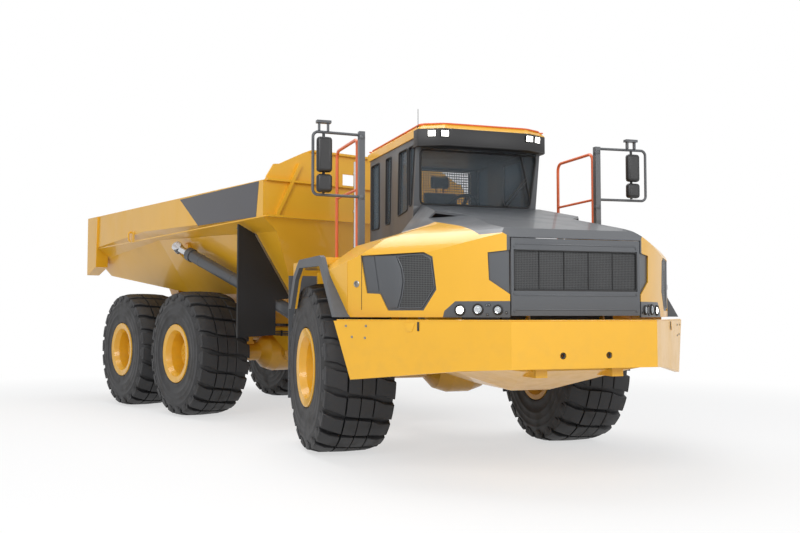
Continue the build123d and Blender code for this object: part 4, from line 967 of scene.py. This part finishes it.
# ---------------- bed
bed_side, flap_face = 1.9, 3.224
stripe = [(5.162, 3.431), (2.644, 3.447), (2.720, 2.957), (4.507, 2.968)]
decal = slab([(bed_side, y, z) for y, z in stripe], (0.0025, 0, 0))
settle("bed_stripes", both_sides(decal), "bed", "dark_vinyl")
fillets = [strip([(bed_side, 2.45, 2.952), (bed_side, 9.10, 2.842)], 0.018, 0.006, along_axle),
           tube([(1.893, 2.50, 3.449), (1.893, 9.18, 3.449)], 0.010),
           tube([(1.893, 9.19, 3.43), (1.893, 9.19, 2.46)], 0.010)]
settle("bed_edge_welds", both_sides(*fillets), "bed", "yellow_paint")
hook = [slab(side_pane(bed_side, 6.98, 7.20, 2.86, 3.06), (0.008, 0, 0), 0.003),
        tube([(x, 7.09, z) for x, z in ((1.905, 3.04), (1.965, 3.04), (1.965, 2.90), (1.93, 2.88))],
             0.016, 0.03, 10)]
settle("bed_tie_hooks", both_sides(*hook), "bed", "yellow_paint")
plate_holes = bolts([((1.757, y, z), (0.80, 0, -0.60)) for y, z in
                     ((3.38, 2.905), (3.47, 2.905), (3.56, 2.905), (3.42, 2.865), (3.52, 2.865))], 0.014, 0.006)
settle("bed_plate_bolts", both_sides(plate_holes), "bed", "bolt_steel")
flap_line = line_of((1.585, 3.225, 2.735), (1.045, 3.225, 1.905), 6)
flap_bolts = bolts([((p.x, flap_face, p.z), forward) for p in flap_line], 0.013, 0.010, 0.024)
flap_strap = strip([(1.60, flap_face, 2.752), (1.03, flap_face, 1.880)], 0.050, 0.006, forward)
hems = strip([(1.885, flap_face, 2.86), (1.885, flap_face, 1.30)], 0.020, 0.004, forward)
settle("flap_straps", both_sides(flap_bolts, flap_strap), "bed", "bolt_steel")
settle("flap_hems", both_sides(hems), "bed", "rubber_sheet")


# ---------------- hoist cylinders
def end_fittings(side):
    """Head collar, gland bolts and the pair of oil pipes along one hoist barrel."""
    foot, eye = Vector((side * 0.864, 2.350, 1.313)), Vector((side * 1.720, 5.600, 2.700))
    along = (eye - foot).normalized()
    length = (eye - foot).length
    across = along.cross(Vector(up)).normalized() * -side
    below = across.cross(along).normalized()
    if below.z > 0:
        below = -below
    head = foot + along * (length - 0.300)
    collar = rod(head - along * 0.012, head + along * 0.014, 0.102, 0.004, 32)
    gland = bolts([(head + along * 0.013 + (across * cos(a) + below * sin(a)) * 0.084, along)
                   for a in (2 * pi * n / 12 for n in range(12))], 0.009, 0.009)
    pipes = []
    for shift in (-0.030, 0.030):
        lift = below * 0.104 + across * shift
        start, end = foot + along * 0.30 + lift, head - along * (0.16 + shift)
        route = [start - below * 0.014, start + below * 0.012, end + below * 0.012, end - below * 0.014]
        pipes.append(tube(route, 0.011, 0.03, 10))
    bands = []
    for part in (0.06, 0.36, 0.66, 0.94):
        place = foot + along * (0.30 + part * (length - 0.75))
        bands.append(rod(place - along * 0.014, place + along * 0.014, 0.0985, 0.003, 32))
    return joined(collar, gland, *pipes, *bands)


for side, name in ((-1, "right"), (1, "left")):
    settle("hoist_fittings_" + name, end_fittings(side), "hoist_barrel_" + name, "dark_grey_paint")

# ---------------- steps and handrails
bump_places = [Matrix.Translation((x, y, level)) for level in (1.155, 1.405, 1.655)
               for x in (1.49, 1.56, 1.63, 1.70, 1.77) for y in (-1.63, -1.56, -1.49, -1.42, -1.36)]
bump = spun([(0.007, 0, -0.001), (0.009, 0, 0.006), (0.013, 0, 0.006), (0.018, 0, -0.001)], up, 8, True)
settle("step_grips", copies(bump, bump_places), "front_unit", "yellow_paint")

rail_feet = [rod((side * 1.5, y, 2.262), (side * 1.5, y, 2.276), 0.034, 0.003) for side in (-1, 1)
             for y in (-0.78, 0.10)]
settle("handrail_feet", joined(*rail_feet), "front_unit", "orange_paint")

# ---------------- chassis
rail_face = 0.4605
rail_bolts = (          # name, body, distances behind the front axle, heights
    ("front_frame_bolts", "front_unit", (-2.62, -2.46, -0.86, -0.70, 0.72), (1.12, 1.30)),
    ("rear_frame_bolts", "rear_unit", (2.36, 2.48, 3.86, 3.98, 7.94, 8.06), (1.31, 1.35)),
)
for name, body, rows, levels in rail_bolts:
    places = [((side * rail_face, y, z), (side, 0, 0)) for side in (-1, 1) for y in rows for z in levels]
    settle(name, bolts(places, 0.016, 0.012, 0.026), body, "yellow_paint")
plates, red, amber = [], [], []
for side in (-1, 1):
    x = side * 0.50
    plates.append(block((x - 0.17, 8.252, 1.20), (x + 0.17, 8.262, 1.36), 0.004))
    for shift, glasses in ((-0.10, red), (0.0, amber), (0.10, red)):
        point = (x + shift, 8.262, 1.28)
        plates.append(placed(lamp_bezel(0.034, 0.008, 0.020), point, rearward))
        glasses.append(placed(lamp_glass(0.034, 0.016), point, rearward))
settle("tail_lamp_plates", joined(*plates), "rear_unit", "black_plastic")
settle("tail_lamps", joined(*red), "rear_unit", "red_lens")
settle("indicator_lamps", joined(*amber), "rear_unit", "amber_lens")

# oil and brake pipes clipped along the rails
pipes, clips = [], []
for side in (-1, 1):
    for row in range(3):
        z = 1.335 - 0.028 * row
        route = ((0.452, 2.55), (0.470, 2.60), (0.470, 7.70), (0.452, 7.75))
        pipes.append(tube([(side * x, y, z) for x, y in route], 0.009, 0.02))
    x = side * 0.470
    for y in (2.75, 3.30, 4.40, 5.00, 5.60, 6.30, 7.00, 7.60):
        clips.append(block((x - 0.016, y - 0.012, 1.262), (x + 0.016, y + 0.012, 1.352), 0.004))
settle("rail_pipes", joined(*pipes), "rear_unit", "cast_grey")
settle("pipe_clips", joined(*clips), "rear_unit", "black_plastic")

# bellows on the suspension struts
folds = []
for side in (-1, 1):
    section = [(0.071, 0, 1.16)]
    for n in range(6):
        section += [(0.088, 0, 1.175 + 0.032 * n), (0.073, 0, 1.191 + 0.032 * n)]
    section.append((0.071, 0, 1.37))
    folds.append(copies(spun(section, up, 28, True), [Matrix.Translation((side * 0.62, 0, 0))]))
settle("strut_bellows", joined(*folds), "front_unit", "rubber_sheet")

# ---------------- floor, lights and camera
bpy.ops.object.select_all(action="DESELECT")
bpy.ops.mesh.primitive_plane_add(size=240, location=(0, 0, -0.002))
floor = bpy.context.object
floor.name = "floor"
paper = Shader("floor_paper", (0.86, 0.86, 0.86), 0.9)
x, y = paper.axis("X"), paper.axis("Y")
far = (x * x + y * y).root().between(5.5, 13.0)
white_light = paper.tree.nodes.new("ShaderNodeEmission").outputs[0]
glow = paper.sees_background() * (0.62 + far * 0.38)        # the floor keeps the shadow near the truck
paper.show(glow, paper.surface.outputs[0], white_light, "Material Output")
floor.data.materials.append(paper.material)

world = bpy.data.worlds.new("studio")
bpy.context.scene.world = world
world.use_nodes = True
sky = Nodes(world.node_tree)
background = sky.tree.nodes["Background"]
background.inputs["Color"].default_value = (0.80, 0.82, 0.85, 1)
background.inputs["Strength"].default_value = 0.5
white = sky.tree.nodes.new("ShaderNodeBackground")
white.inputs["Color"].default_value = (1, 1, 1, 1)
sky.show(sky.sees_background(), background.outputs[0], white.outputs[0], "World Output")


def soft_lamp(name, place, aim, size, power):
    """Large soft panel lamp at a place, turned to what it lights."""
    data = bpy.data.lights.new(name, "AREA")
    data.size = size
    data.energy = power
    lamp = bpy.data.objects.new(name, data)
    bpy.context.collection.objects.link(lamp)
    lamp.location = front_place @ Vector(place)
    lamp.rotation_mode = "QUATERNION"
    lamp.rotation_quaternion = (front_place @ Vector(aim) - lamp.location).to_track_quat("-Z", "Y")


soft_lamp("key_lamp", (-9, -13, 10), (0, 0, 1.5), 7, 1350)
soft_lamp("front_lamp", (6, -14, 7), (0, -2, 1.5), 6, 550)
soft_lamp("top_lamp", (-2, 4, 13), (0, 3, 0), 9, 1000)

heading, pitch = radians(18.783), radians(2.914)
camera_data = bpy.data.cameras.new("camera")
camera_data.lens = 41.876
camera_data.sensor_width = 36
camera = bpy.data.objects.new("camera", camera_data)
bpy.context.collection.objects.link(camera)
camera.location = front_place @ Vector((-4.3833, -10.7471, 1.6176))
camera.rotation_mode = "QUATERNION"
look = Vector((sin(heading) * cos(pitch), cos(heading) * cos(pitch), sin(pitch)))
camera.rotation_quaternion = look.to_track_quat("-Z", "Y")
bpy.context.scene.camera = camera

bpy.context.scene.view_settings.view_transform = "Standard"
